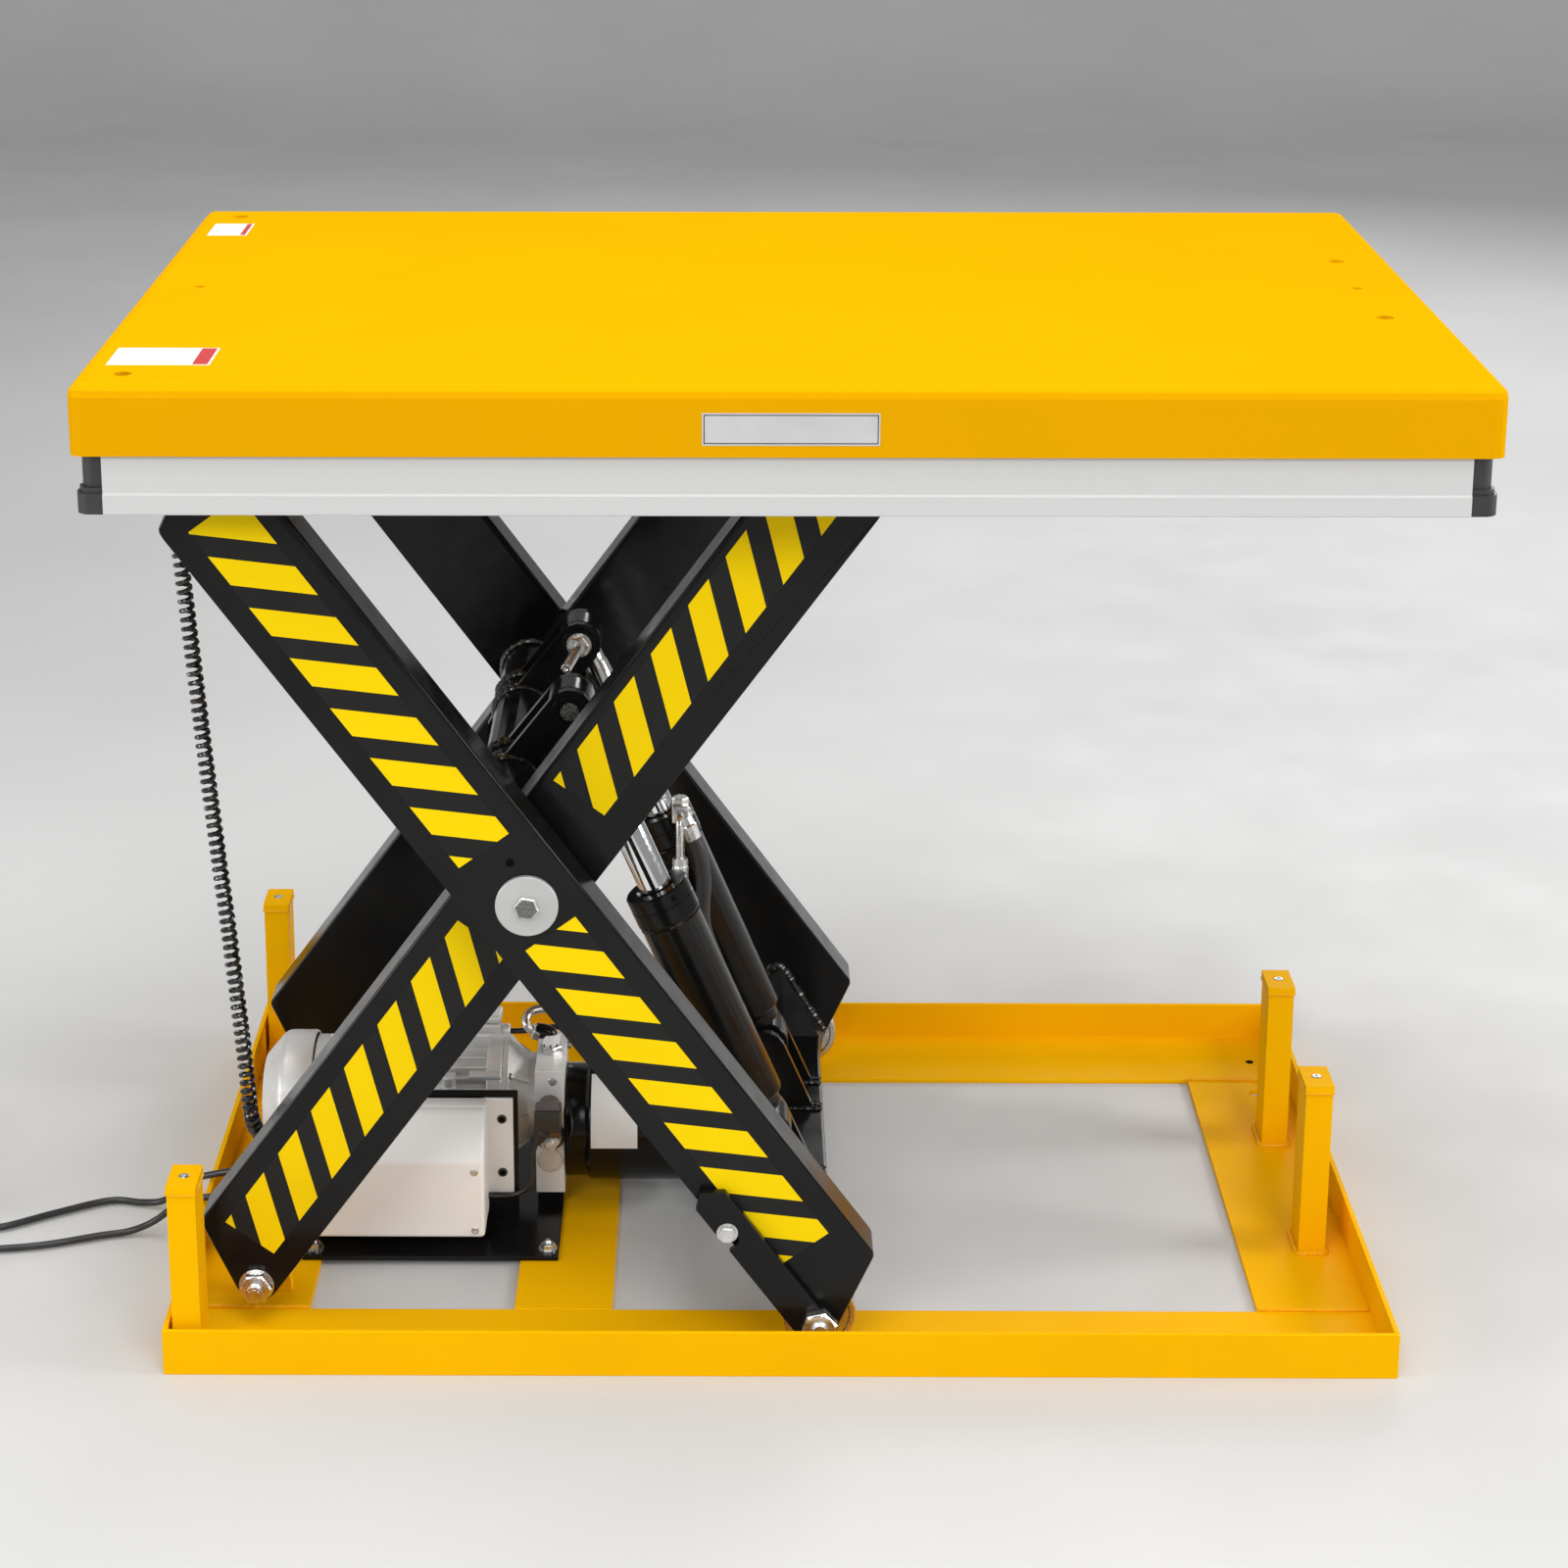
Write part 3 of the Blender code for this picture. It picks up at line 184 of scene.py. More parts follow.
# For each look: the record's slot, then its material's name, its colour, the shade that it drifts to, its
# least and most roughness, its grain's scale, strength and depth, and its other settings.
FINISHES = {
    # The deck and base share one yellow paint, but the deck's copy is darker: painted shade on the deck,
    # which the lamps light more strongly than the base beneath it.
    "deck": ("yellow_paint", "deck_paint", (0.7, 0.336, 0.001), (0.68, 0.326, 0.001), (0.46, 0.56),
             (260, 0.1, 0.00015), {"specular": 0.0}),
    "base": ("yellow_paint", "base_paint", (0.89, 0.46, 0.001), (0.86, 0.44, 0.001), (0.34, 0.46),
             (220, 0.16, 0.0002), {"specular": 0.008}),
    "black": ("black_paint", "gloss_black_paint", (0.005, 0.005, 0.0052), (0.0078, 0.0075, 0.0072),
              (0.15, 0.25), (190, 0.22, 0.00025), {"specular": 0.2, "blotch": 9.0}),
    "weld": ("black_paint", "painted_weld", (0.006, 0.006, 0.006), (0.014, 0.014, 0.014), (0.12, 0.25),
             (420, 0.5, 0.0008), {"coat": 0.6, "blotch": 60.0}),
    "yellow_weld": ("yellow_paint", "painted_yellow_weld", (0.86, 0.43, 0.001), (0.8, 0.38, 0.001),
                    (0.25, 0.35), (420, 0.4, 0.0006), {"specular": 0.25, "blotch": 60.0}),
    "sticker_black": ("black_paint", "sticker_black", (0.0085, 0.0083, 0.008), (0.0115, 0.011, 0.0105),
                      (0.42, 0.55), (700, 0.1, 0.0001), {"specular": 0.22}),
    "sticker_yellow": ("yellow_paint", "sticker_yellow", (0.88, 0.62, 0.001), (0.85, 0.59, 0.001),
                       (0.4, 0.52), (700, 0.08, 0.0001), {"specular": 0.06}),
    "zinc": ("zinc_steel", "zinc_plate", (0.74, 0.74, 0.73), (0.58, 0.58, 0.56), (0.22, 0.42),
             (600, 0.25, 0.0001), {"metallic": 1.0, "blotch": 90.0}),
    "washer": ("zinc_steel", "stamped_washer", (0.55, 0.55, 0.54), (0.5, 0.5, 0.49), (0.4, 0.52),
               (900, 0.15, 0.0001), {"metallic": 0.4, "blotch": 40.0}),
    "chrome": ("chrome", "hard_chrome", (0.8, 0.8, 0.79), (0.74, 0.74, 0.73), (0.06, 0.14),
               (900, 0.05, 0.00005), {"metallic": 1.0, "blotch": 30.0}),
    "cast": ("aluminium", "cast_aluminium", (0.78, 0.775, 0.76), (0.69, 0.685, 0.67), (0.34, 0.5),
             (1100, 0.45, 0.0003), {"metallic": 0.4, "blotch": 35.0}),
    "machined": ("aluminium", "machined_aluminium", (0.93, 0.93, 0.92), (0.87, 0.87, 0.86), (0.3, 0.42),
                 (500, 0.2, 0.0001), {"metallic": 0.1, "blotch": 18.0, "stretch": (1.0, 1.0, 0.08)}),
    "extrusion": ("aluminium", "extruded_aluminium", (0.6, 0.6, 0.595), (0.56, 0.56, 0.555), (0.42, 0.5),
                  (700, 0.12, 0.0001), {"metallic": 0.1, "blotch": 14.0, "stretch": (0.02, 1.0, 1.0)}),
    "white": ("white_plastic", "moulded_white", (0.91, 0.9, 0.88), (0.88, 0.87, 0.85), (0.38, 0.5),
              (1300, 0.16, 0.0001), {}),
    "plastic": ("black_plastic", "moulded_black", (0.022, 0.022, 0.023), (0.032, 0.031, 0.03), (0.36, 0.5),
                (1300, 0.25, 0.0001), {"blotch": 30.0}),
    "smoked": ("black_plastic", "smoked_plastic", (0.05, 0.032, 0.022), (0.08, 0.055, 0.04), (0.14, 0.24),
               (500, 0.1, 0.0001), {"coat": 0.4, "blotch": 60.0}),
    "curly": ("cable_rubber", "curly_cord_sheath", (0.006, 0.006, 0.006), (0.011, 0.011, 0.011),
              (0.16, 0.26), (1200, 0.15, 0.0001), {"coat": 0.4, "blotch": 40.0}),
    "rubber": ("cable_rubber", "cable_sheath", (0.012, 0.012, 0.013), (0.022, 0.022, 0.022), (0.3, 0.44),
               (1200, 0.25, 0.0001), {"coat": 0.1, "blotch": 40.0}),
    "hose": ("cable_rubber", "hose_cover", (0.018, 0.018, 0.019), (0.03, 0.03, 0.03), (0.48, 0.62),
             (900, 0.5, 0.0002), {"blotch": 40.0}),
    "paper": ("white_plastic", "label_paper", (0.82, 0.82, 0.8), (0.77, 0.77, 0.75), (0.42, 0.52),
              (900, 0.08, 0.0001), {"blotch": 25.0}),
    "silver_label": ("aluminium", "silver_label", (0.66, 0.66, 0.66), (0.6, 0.6, 0.6), (0.36, 0.46),
                     (900, 0.08, 0.0001), {"metallic": 0.5, "blotch": 25.0}),
    "red": ("red_plastic", "moulded_red", (0.55, 0.015, 0.012), (0.48, 0.012, 0.01), (0.28, 0.38),
            (1000, 0.12, 0.0001), {"coat": 0.2, "blotch": 30.0}),
    "green": ("green_plastic", "moulded_green", (0.015, 0.3, 0.05), (0.012, 0.25, 0.04), (0.28, 0.38),
              (1000, 0.12, 0.0001), {"coat": 0.2, "blotch": 30.0}),
    # This look is near-black painted shade, laid as thin discs and dots for the shadow inside bolt, grease,
    # spanner and flange holes.
    "hole": ("black_paint", "deep_hole", (0.004, 0.004, 0.004), (0.007, 0.007, 0.007), (0.7, 0.8),
             (500, 0.1, 0.0001), {"specular": 0.02}),
}
SLOTS = {look: finish[0] for look, finish in FINISHES.items()}
LOOKS = {look: make_look(*finish[1:6], **finish[6]) for look, finish in FINISHES.items()}


# ---- making pieces ------------------------------------------------------------------------
class Shape:
    """Solids gathered into one mesh, in the frame's coordinates."""

    def __init__(self):
        self.mesh = bmesh.new()

    def ring(self, middle, side, other, radius, steps, turn=0.0):
        """Vertices round a middle, or one there if the radius is nothing."""
        if radius < 1e-6:
            return [self.mesh.verts.new(middle)]
        angles = [turn + 2 * math.pi * step / steps for step in range(steps)]
        return [self.mesh.verts.new(middle + (side * math.cos(a) + other * math.sin(a)) * radius)
                for a in angles]

    def skin(self, rings, closed=False):
        """Faces between rings of vertices. A ring of one vertex is a point; open ends are capped."""
        for first, second in zip(rings, rings[1:] + (rings[:1] if closed else [])):
            count = max(len(first), len(second))
            for index in range(count):
                after = (index + 1) % count
                corners = [first[index % len(first)], first[after % len(first)], second[after % len(second)],
                           second[index % len(second)]]
                corners = list(dict.fromkeys(corners))
                if len(corners) > 2:
                    self.mesh.faces.new(corners)
        if not closed:
            for ring in (rings[0], rings[-1]):
                if len(ring) > 2:
                    self.mesh.faces.new(ring)
        return self

    def lathe(self, profile, centre, axis, steps=48, closed=False, turn=0.0):
        """Turns (along, radius) points about an axis through a centre."""
        axis = Vector(axis).normalized()
        side = axis.orthogonal().normalized()
        other = axis.cross(side)
        rings = [self.ring(Vector(centre) + axis * along, side, other, radius, steps, turn)
                 for along, radius in profile]
        return self.skin(rings, closed)

    def disc(self, centre, axis, radius, height, steps, turn=0.0):
        """A short plain cylinder standing on a face at its centre."""
        profile = [(0, 0), (0, radius), (height, radius), (height, 0)]
        return self.lathe(profile, centre, axis, steps, turn=turn)

    def rod(self, start, end, radius, steps=32, edge=0.0006):
        """A cylinder between two points with its rims eased."""
        line = Vector(end) - Vector(start)
        profile = [(0, 0), (0, radius - edge), (edge, radius), (line.length - edge, radius),
                   (line.length, radius - edge), (line.length, 0)]
        return self.lathe(profile, start, line, steps)

    def hexagon(self, centre, axis, radius, height, turn=0.0):
        """A bolt head or nut with its corners chamfered, standing on a face at its centre."""
        profile = [(0, 0), (0, radius), (height * 0.82, radius), (height, radius * 0.9), (height, 0)]
        return self.lathe(profile, centre, axis, 6, turn=turn)

    def thread(self, centre, axis, radius, length):
        """A threaded stud with a chamfered tip."""
        pitch = 0.00125
        profile = [(0.0, 0.0), (0.0, radius * 0.86)]
        for turn in range(int(length / pitch)):
            profile += [((turn + 0.5) * pitch, radius), ((turn + 1.0) * pitch, radius * 0.88)]
        profile += [(length + 0.0012, radius * 0.7), (length + 0.0012, 0.0)]
        return self.lathe(profile, centre, axis, 20)

    def tube(self, points, radii, sides=12):
        """A round tube along points; radii is one number or one for each point."""
        if not isinstance(radii, list):
            radii = [radii] * len(points)
        line = (points[1] - points[0]).normalized()
        side = line.orthogonal().normalized()
        rings = []
        for index, (point, radius) in enumerate(zip(points, radii)):
            ahead = points[min(index + 1, len(points) - 1)]
            behind = points[max(index - 1, 0)]
            new_line = (ahead - behind).normalized()
            side = (line.rotation_difference(new_line) @ side).normalized()
            line = new_line
            rings.append(self.ring(point, side, line.cross(side), radius, sides))
        return self.skin(rings)

    def pipe(self, points, spacing, radius, sides):
        """A round tube along a smooth curve through points."""
        return self.tube(smooth_route(points, spacing), radius, sides)

    def box(self, low, high, bevel):
        shape = bmesh.new()
        size = Vector(high) - Vector(low)
        middle = (Vector(high) + Vector(low)) / 2
        bmesh.ops.create_cube(shape, size=1.0,
                              matrix=Matrix.Translation(middle) @ Matrix.Diagonal((*size, 1.0)))
        return self.take(shape, bevel, 3)

    def prism(self, outline, offset, bevel=0.0, segments=2):
        """A flat outline of points in order, made solid along an offset."""
        shape = bmesh.new()
        near = [shape.verts.new(Vector(point)) for point in outline]
        far = [shape.verts.new(Vector(point) + Vector(offset)) for point in outline]
        shape.faces.new(near)
        shape.faces.new(far)
        for index in range(len(near)):
            after = (index + 1) % len(near)
            shape.faces.new((near[index], near[after], far[after], far[index]))
        return self.take(shape, bevel, segments)

    def take(self, shape, bevel, segments):
        """Adds another mesh under construction to this one, with its edges rounded where asked."""
        if bevel:
            bmesh.ops.bevel(shape, geom=shape.edges[:], offset=bevel, segments=segments, profile=0.5,
                            affect="EDGES")
        mesh = bpy.data.meshes.new("taken")
        shape.to_mesh(mesh)
        shape.free()
        self.mesh.from_mesh(mesh)
        bpy.data.meshes.remove(mesh)
        return self

    def piece(self, name, look, body, replaces=(), smooth=35.0, slot=None):
        """Ends the shape as a named piece on a body, in its look. Its slot, the look's unless another is
        given, is worked out but not kept.
        """
        slot = slot or SLOTS[look]
        bmesh.ops.recalc_face_normals(self.mesh, faces=self.mesh.faces[:])
        mesh = bpy.data.meshes.new(name)
        self.mesh.to_mesh(mesh)
        self.mesh.free()
        mesh.shade_smooth()
        mesh.set_sharp_from_angle(angle=math.radians(smooth))
        mesh.materials.append(LOOKS[look])
        made = bpy.data.objects.new(name, mesh)
        SCENE.collection.objects.link(made)
        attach(made, body)
        if replaces:
            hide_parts(*replaces)
        return made


def dress(look, *nodes, bevel=0.0, segments=3):
    """Gives CAD nodes a finish and, where asked, eases their sharp edges."""
    for node in nodes:
        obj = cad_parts[node]
        obj.data.materials.clear()
        obj.data.materials.append(LOOKS[look])
        if not bevel:
            continue
        weld = obj.modifiers.new("weld", "WELD")
        weld.merge_threshold = 0.00002
        ease = obj.modifiers.new("ease", "BEVEL")
        ease.width, ease.segments = bevel, segments
        ease.limit_method, ease.angle_limit = "ANGLE", math.radians(50)
        normals = obj.modifiers.new("normals", "WEIGHTED_NORMAL")
        normals.weight = 100


def bead(shape, points, radius, seed, step=0.0016):
    """A weld bead along points, rippled and a little uneven."""
    route = smooth_route(points, step) if len(points) > 2 else straight(points[0], points[1], step)
    radii = []
    for index, point in enumerate(route):
        ripple = 0.1 * math.sin(index * 2.1)
        uneven = noise.noise(point * 160.0 + Vector((seed, 0.0, 0.0))) * 0.45
        ends = min(1.0, 0.35 + index * 0.25, 0.35 + (len(route) - 1 - index) * 0.25)
        radii.append(radius * (1.0 + ripple + uneven) * ends)
    return shape.tube(route, radii, 8)


def straight(start, end, step):
    count = max(2, int((end - start).length / step))
    return [start.lerp(end, index / count) for index in range(count + 1)]


def smooth_route(points, spacing):
    """Points about one spacing apart along a smooth curve through the given ones."""
    route = []
    padded = [points[0]] + list(points) + [points[-1]]
    for index in range(1, len(padded) - 2):
        a, b, c, d = (Vector(point) for point in padded[index - 1:index + 3])
        steps = max(1, round((c - b).length / spacing))
        for step in range(steps):
            t = step / steps
            route.append(0.5 * (2 * b + (c - a) * t + (2 * a - 5 * b + 4 * c - d) * t ** 2
                                + (3 * b - a - 3 * c + d) * t ** 3))
    route.append(Vector(points[-1]))
    return route


def route_length(points):
    return sum((Vector(after) - Vector(here)).length for here, after in zip(points, points[1:]))


# ---- cords --------------------------------------------------------------------------------
MAINS_ROUTE = [(-0.5218, -0.108, 0.05), (-0.538, -0.108, 0.05), (-0.57, -0.12, 0.054),
               (-0.608, -0.129, 0.056), (-0.636, -0.12, 0.044), (-0.665, -0.112, 0.019),
               (-0.692, -0.1115, 0.0068), (-0.722, -0.119, 0.0056), (-0.775, -0.139, 0.0056),
               (-0.82, -0.148, 0.0056), (-0.87, -0.1513, 0.0056), (-0.902, -0.1513, 0.0056)]
PENDANT_ROUTE = [(-0.5218, -0.108, 0.085), (-0.538, -0.107, 0.0845), (-0.57, -0.091, 0.07),
                 (-0.608, -0.077, 0.056), (-0.636, -0.065, 0.042), (-0.663, -0.052, 0.013),
                 (-0.69, -0.044, 0.0056), (-0.726, -0.04, 0.0056), (-0.78, -0.069, 0.0056),
                 (-0.83, -0.1, 0.0056), (-0.87, -0.1087, 0.0056), (-0.902, -0.1087, 0.0056)]
CURL_ROUTE = [(-0.614, -0.15, 1.01), (-0.6085, -0.15, 0.9), (-0.595, -0.15, 0.72), (-0.5795, -0.15, 0.52),
              (-0.5645, -0.15, 0.35), (-0.5555, -0.15, 0.235), (-0.552, -0.146, 0.17),
              (-0.55, -0.128, 0.137), (-0.543, -0.108, 0.12), (-0.5218, -0.108, 0.12)]
COIL_CENTRES = {"mains": (-0.93, -0.2), "pendant": (-0.93, -0.06)}
COIL_TAILS = {"mains": [(-0.974, -0.235, 0.0262), (-0.975, -0.265, 0.0203)],
              "pendant": [(-0.974, -0.025, 0.0262), (-0.975, 0.005, 0.0185)]}
COIL_OUTER, COIL_INNER, COIL_FLOOR = 0.04875, 0.03375, 0.0041
LAYERS, LAYER_TURNS, LAST_TURNS, RISE_TURNS = 4, 2.0, 1.35, 0.3
STEPS_A_TURN = 40


def coil_turns(centre, start, spin):
    """The turns of a round coil in layers, from its outside at the start angle; spin is 1 or -1."""
    def place(turned, radius, layers):
        angle = math.radians(start) + spin * 2 * math.pi * turned
        return (centre[0] + radius * math.cos(angle), centre[1] + radius * math.sin(angle),
                COIL_FLOOR + 2 * CABLE_RADIUS * layers)

    stages = []
    for layer in range(LAYERS):
        last = layer == LAYERS - 1
        turns = LAST_TURNS if last else LAYER_TURNS
        inward = layer % 2 == 0
        begin = COIL_OUTER if inward else COIL_INNER
        change = (-1 if inward else 1) * 2 * CABLE_RADIUS * turns
        stages.append((turns, begin, change, layer, 0))
        if not last:
            stages.append((RISE_TURNS, begin + change, 0.0, layer, 1))
    points, turned = [], 0.0
    for turns, begin, change, layer, rise in stages:
        steps = round(turns * STEPS_A_TURN)
        for step in range(steps):
            share = step / steps
            height = layer + rise * share * share * (3 - 2 * share)
            points.append(place(turned + turns * share, begin + change * share, height))
        turned += turns
    points.append(place(turned, begin + change, layer))
    return points


def make_cord(word, route, start, spin):
    """One free cable: its route from the box, its coil and the tail into what it ends in."""
    turns = coil_turns(COIL_CENTRES[word], start, spin)
    tail = smooth_route([turns[-1]] + COIL_TAILS[word], 0.006)
    points = smooth_route(route, 0.008) + [Vector(turn) for turn in turns] + tail[1:]
    points = [at(*point) for point in points]
    curve = bpy.data.curves.new(f"{word}_lead", "CURVE")
    curve.dimensions = "3D"
    curve.bevel_depth = CABLE_RADIUS
    curve.bevel_resolution = 4
    curve.use_fill_caps = True
    spline = curve.splines.new("POLY")
    spline.points.add(len(points) - 1)
    for point, place in zip(spline.points, points):
        point.co = (*place, 1.0)
    spline.use_smooth = True
    curve.materials.append(LOOKS["rubber"])
    lead = bpy.data.objects.new(f"{word}_lead", curve)
    SCENE.collection.objects.link(lead)
    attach(lead, "base")
    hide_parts(f"{word}_cable", f"{word}_cable_coil")
    return lead, points[0], route_length(points)


def strain_relief(word, route):
    """The tapered, ribbed boot where a cable leaves its gland."""
    path = smooth_route(route, 0.0015)[:17]
    radii = []
    for index in range(len(path)):
        share = index / (len(path) - 1)
        rib = 0.0005 if index % 4 in (1, 2) and share < 0.8 else 0.0
        radii.append(0.0072 * (1 - share) + 0.0045 * share + rib)
    boot = Shape().tube([at(*point) for point in path], radii, 24)
    boot.piece(f"{word}_strain_relief", "plastic", "base")


def curly_cord():
    """The coiled cord that joins the control box to the trip frame's switches."""
    route = smooth_route(CURL_ROUTE, 0.001)
    radius, pitch, wire = 0.0062, 0.0096, 0.0026
    tails, easing = 0.014, 0.008
    points, travelled = [], 0.0
    side = Vector((0.0, 1.0, 0.0))
    total = route_length(route)
    for here, after in zip(route, route[1:]):
        line = (after - here).normalized()
        side = (side - line * side.dot(line)).normalized()
        other = line.cross(side)
        swell = min(1.0, max(0.0, travelled - tails) / easing, max(0.0, total - tails - travelled) / easing)
        angle = 2 * math.pi * travelled / pitch
        points.append(at(*(here + (side * math.cos(angle) + other * math.sin(angle)) * radius * swell)))
        travelled += (after - here).length
    points.append(at(*route[-1]))
    cord = Shape().tube(points, wire, 8).piece("curly_lead", "curly", "base", ("curly_cord",))
    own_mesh(cord)


def make_cords():
    mains, mains_exit, mains_length = make_cord("mains", MAINS_ROUTE, 90.0, 1)
    pendant, pendant_exit, pendant_length = make_cord("pendant", PENDANT_ROUTE, -90.0, -1)
    strain_relief("mains", MAINS_ROUTE)
    strain_relief("pendant", PENDANT_ROUTE)
    curly_cord()
    dress("plastic", "mains_plug", "down_button")
    dress("base", "pendant_housing")
    dress("green", "up_button")
    dress("red", "stop_button")


# ---- base frame ---------------------------------------------------------------------------
def rectangle(x_low, x_high, y_low, y_high, z):
    return [at(x_low, y_low, z), at(x_high, y_low, z), at(x_high, y_high, z), at(x_low, y_high, z)]


def base_frame():
    dress("base", "base_cross_plate", "base_front_rail", "base_rear_rail", "base_left_end", "base_right_end",
          "base_pivot_bracket_front", "base_pivot_bracket_rear", "support_post_front", "support_post_rear",
          bevel=0.0012, segments=2)
    welds = Shape()
    floor, cap = 0.0062, 0.1895
    posts = [(-0.587, -0.357), (-0.587, 0.357), (0.5655, -0.125), (0.5655, 0.125)]
    for seed, (x, y) in enumerate(posts):
        for half_x, half_y, z, radius, shift in ((0.016, 0.026, floor, 0.003, 0),
                                                 (0.0152, 0.0252, cap, 0.0011, 9)):
            ring = rectangle(x - half_x, x + half_x, y - half_y, y + half_y, z)
            for first, second in zip(ring, ring[1:] + ring[:1]):
                bead(welds, [first, second], radius, seed + shift)
    for side, _ in SIDES:
        for start, end, seed in ((-0.4795, -0.604, 3), (0.4905, 0.604, 5)):
            bead(welds, [at(start, side * 0.269, floor), at(end, side * 0.269, floor)], 0.0022, seed)
    welds.piece("base_welds", "yellow_weld", "base")

    # A near-black disc on the base plate: painted shade for the floor bolt hole.
    bolt_hole_shade = Shape().disc(at(0.5707, 0.319, 0.005), UP, 0.0046, 0.0002, 28)
    bolt_hole_shade.piece("floor_bolt_hole_shade", "hole", "base", slot="yellow_paint")

    screws = Shape()
    for x, y in posts:
        screws.lathe([(-0.001, 0), (-0.001, 0.0052), (0.0004, 0.0052), (0.0008, 0.0046), (0.0008, 0.003),
                      (-0.0006, 0.0028), (-0.0006, 0)], at(x, y, 0.198), UP, 24)
    screws.piece("post_cap_screws", "zinc", "base")


def fasteners():
    for side, word in SIDES:
        out = Vector((0, side, 0))
        place = on_pin(BASE_PIN, side * 0.2903)
        pivot = Shape().disc(place, out, 0.0178, 0.0016, 40)
        pivot.hexagon(place + out * 0.0016, out, 0.017, 0.0108, 0.3)
        pivot.thread(place + out * 0.0124, out, 0.0084, 0.0085)
        pivot.piece(f"base_pivot_nut_{word}", "zinc", "base")

        place = on_pin(CENTRE, side * 0.3602)
        centre = Shape().hexagon(place, out, 0.0126, 0.0074, 0.1)
        centre.disc(place + out * 0.0064, out, 0.0108, 0.001, 6, 0.1)
        centre.piece(f"centre_bolt_{word}", "zinc", "inner_arms")

        washer = Shape().lathe([(0, 0), (0, 0.0304), (0.0046, 0.0304), (0.0053, 0.0297), (0.0053, 0)],
                               on_pin(CENTRE, side * 0.3551), out, 64)
        washer.piece(f"centre_washer_{word}", "washer", "inner_arms")

        place = on_pin(BOTTOM_ROLLER, side * 0.3658)
        shaft = Shape().hexagon(place, out, 0.0182, 0.0118, 0.5)
        shaft.thread(place + out * 0.011, out, 0.0098, 0.004)
        shaft.piece(f"roller_shaft_nut_{word}", "zinc", "outer_arms")

        table_bolt = Shape().hexagon(on_pin(TABLE_PIN, side * 0.3551), out, 0.0176, 0.009, 0.2)
        table_bolt.piece(f"table_pivot_bolt_{word}", "zinc", "table")

        # A near-black disc on the outer arm: painted shade for the grease hole.
        hole = Shape().disc(on_arm("outer", -0.044, 0.013, side * 0.3551), out, 0.0042, 0.0002, 24)
        hole.piece(f"grease_hole_shade_{word}", "hole", "outer_arms")

    place = at(-0.0523, -0.3651, 0.1426)
    prop = Shape().disc(place, FRONT, 0.0105, 0.0014, 32)
    prop.hexagon(place + Vector((0, -0.0014, 0)), FRONT, 0.0088, 0.006, 0.2)
    prop.piece("prop_bolt", "zinc", "safety_prop")


# ---- arms ---------------------------------------------------------------------------------
# For each sticker: its stretch along the arm and across it, where a stripe's low edge begins, the
# stripes' pitch, how far a stripe leans over the sticker's width, its width and how many there are.
STICKERS = [
    ("outer", "upper", (-0.4836, -0.0686), (-0.0297, 0.0303), -0.516, 0.0617, 0.0558, 0.0345, 8),
    ("outer", "lower", (0.037, 0.4538), (-0.0297, 0.0303), -0.0323, 0.0588, 0.0558, 0.0345, 9),
    ("inner", "lower", (-0.4856, -0.078), (-0.0268, 0.0325), -0.5566, 0.0582, 0.049, 0.0325, 9),
    ("inner", "upper", (0.097, 0.505), (-0.019, 0.042), 0.0253, 0.0606, 0.0505, 0.033, 9),
]
STICKER_FILM, FILM_GAP = 0.0002, 0.00005


def clipped(outline, limit, keep_above):
    """The part of an (along, across) outline on one side of a limit along the arm."""
    kept = []
    for index, here in enumerate(outline):
        after = outline[(index + 1) % len(outline)]
        here_in = (here[0] >= limit) == keep_above
        after_in = (after[0] >= limit) == keep_above
        if here_in:
            kept.append(here)
        if here_in != after_in:
            share = (limit - here[0]) / (after[0] - here[0])
            kept.append((limit, here[1] + (after[1] - here[1]) * share))
    return kept


def stickers():
    for arm, word, (start, end), (low, high), first, pitch, lean, width, count in STICKERS:
        for side, side_word in SIDES:
            def film(shape, outline, layers):
                points = [on_arm(arm, a, n, side * (OUTER_FACE[arm] + FILM_GAP)) for a, n in outline]
                shape.prism(points, (0, side * layers * STICKER_FILM, 0))

            ground, stripes = Shape(), Shape()
            film(ground, [(start, low), (end, low), (end, high), (start, high)], 1)
            ground.piece(f"sticker_{arm}_{word}_{side_word}", "sticker_black", f"{arm}_arms")
            for index in range(count):
                foot = first + pitch * index
                top = foot + lean
                outline = [(foot, low), (foot + width, low), (top + width, high), (top, high)]
                outline = clipped(clipped(outline, start, True), end, False)
                if len(outline) > 2:
                    film(stripes, outline, 2)
            stripes.piece(f"stripes_{arm}_{word}_{side_word}", "sticker_yellow", f"{arm}_arms")


def arms():
    dress("black", "inner_arm_front", "inner_arm_rear", "outer_arm_front", "outer_arm_rear", bevel=0.0055)
    dress("black", "inner_cross_tube", "outer_cross_beam", "table_rail_front", "table_rail_rear")
    dress("black", "safety_prop", bevel=0.0008, segments=2)
    dress("zinc", "base_pivot_pin_front", "base_pivot_pin_rear", "centre_pivot_pin_front",
          "centre_pivot_pin_rear", "table_pivot_pin_front", "table_pivot_pin_rear", "bottom_roller_shaft",
          "top_roller_shaft")
    stickers()


def rollers():
    """Machined rollers with a crowned rim and a shallow hub recess, in place of the faceted ones."""
    half = 0.016
    right = [(half - 0.0014, 0.0372), (half, 0.0358), (half, 0.0315), (half - 0.002, 0.03),
             (half - 0.002, 0.0225), (half, 0.021), (half, 0.0135)]
    profile = [(-along, radius) for along, radius in reversed(right)] + right
    for word, pin, offset in (("bottom", BOTTOM_ROLLER, 0.33), ("top", TOP_ROLLER, 0.221)):
        for side, side_word in SIDES:
            name = f"{word}_roller_{side_word}"
            shape = Shape().lathe(profile, on_pin(pin, side * offset), BACK, 64, closed=True)
            shape.piece(f"{name}_turned", "zinc", name, (name,))


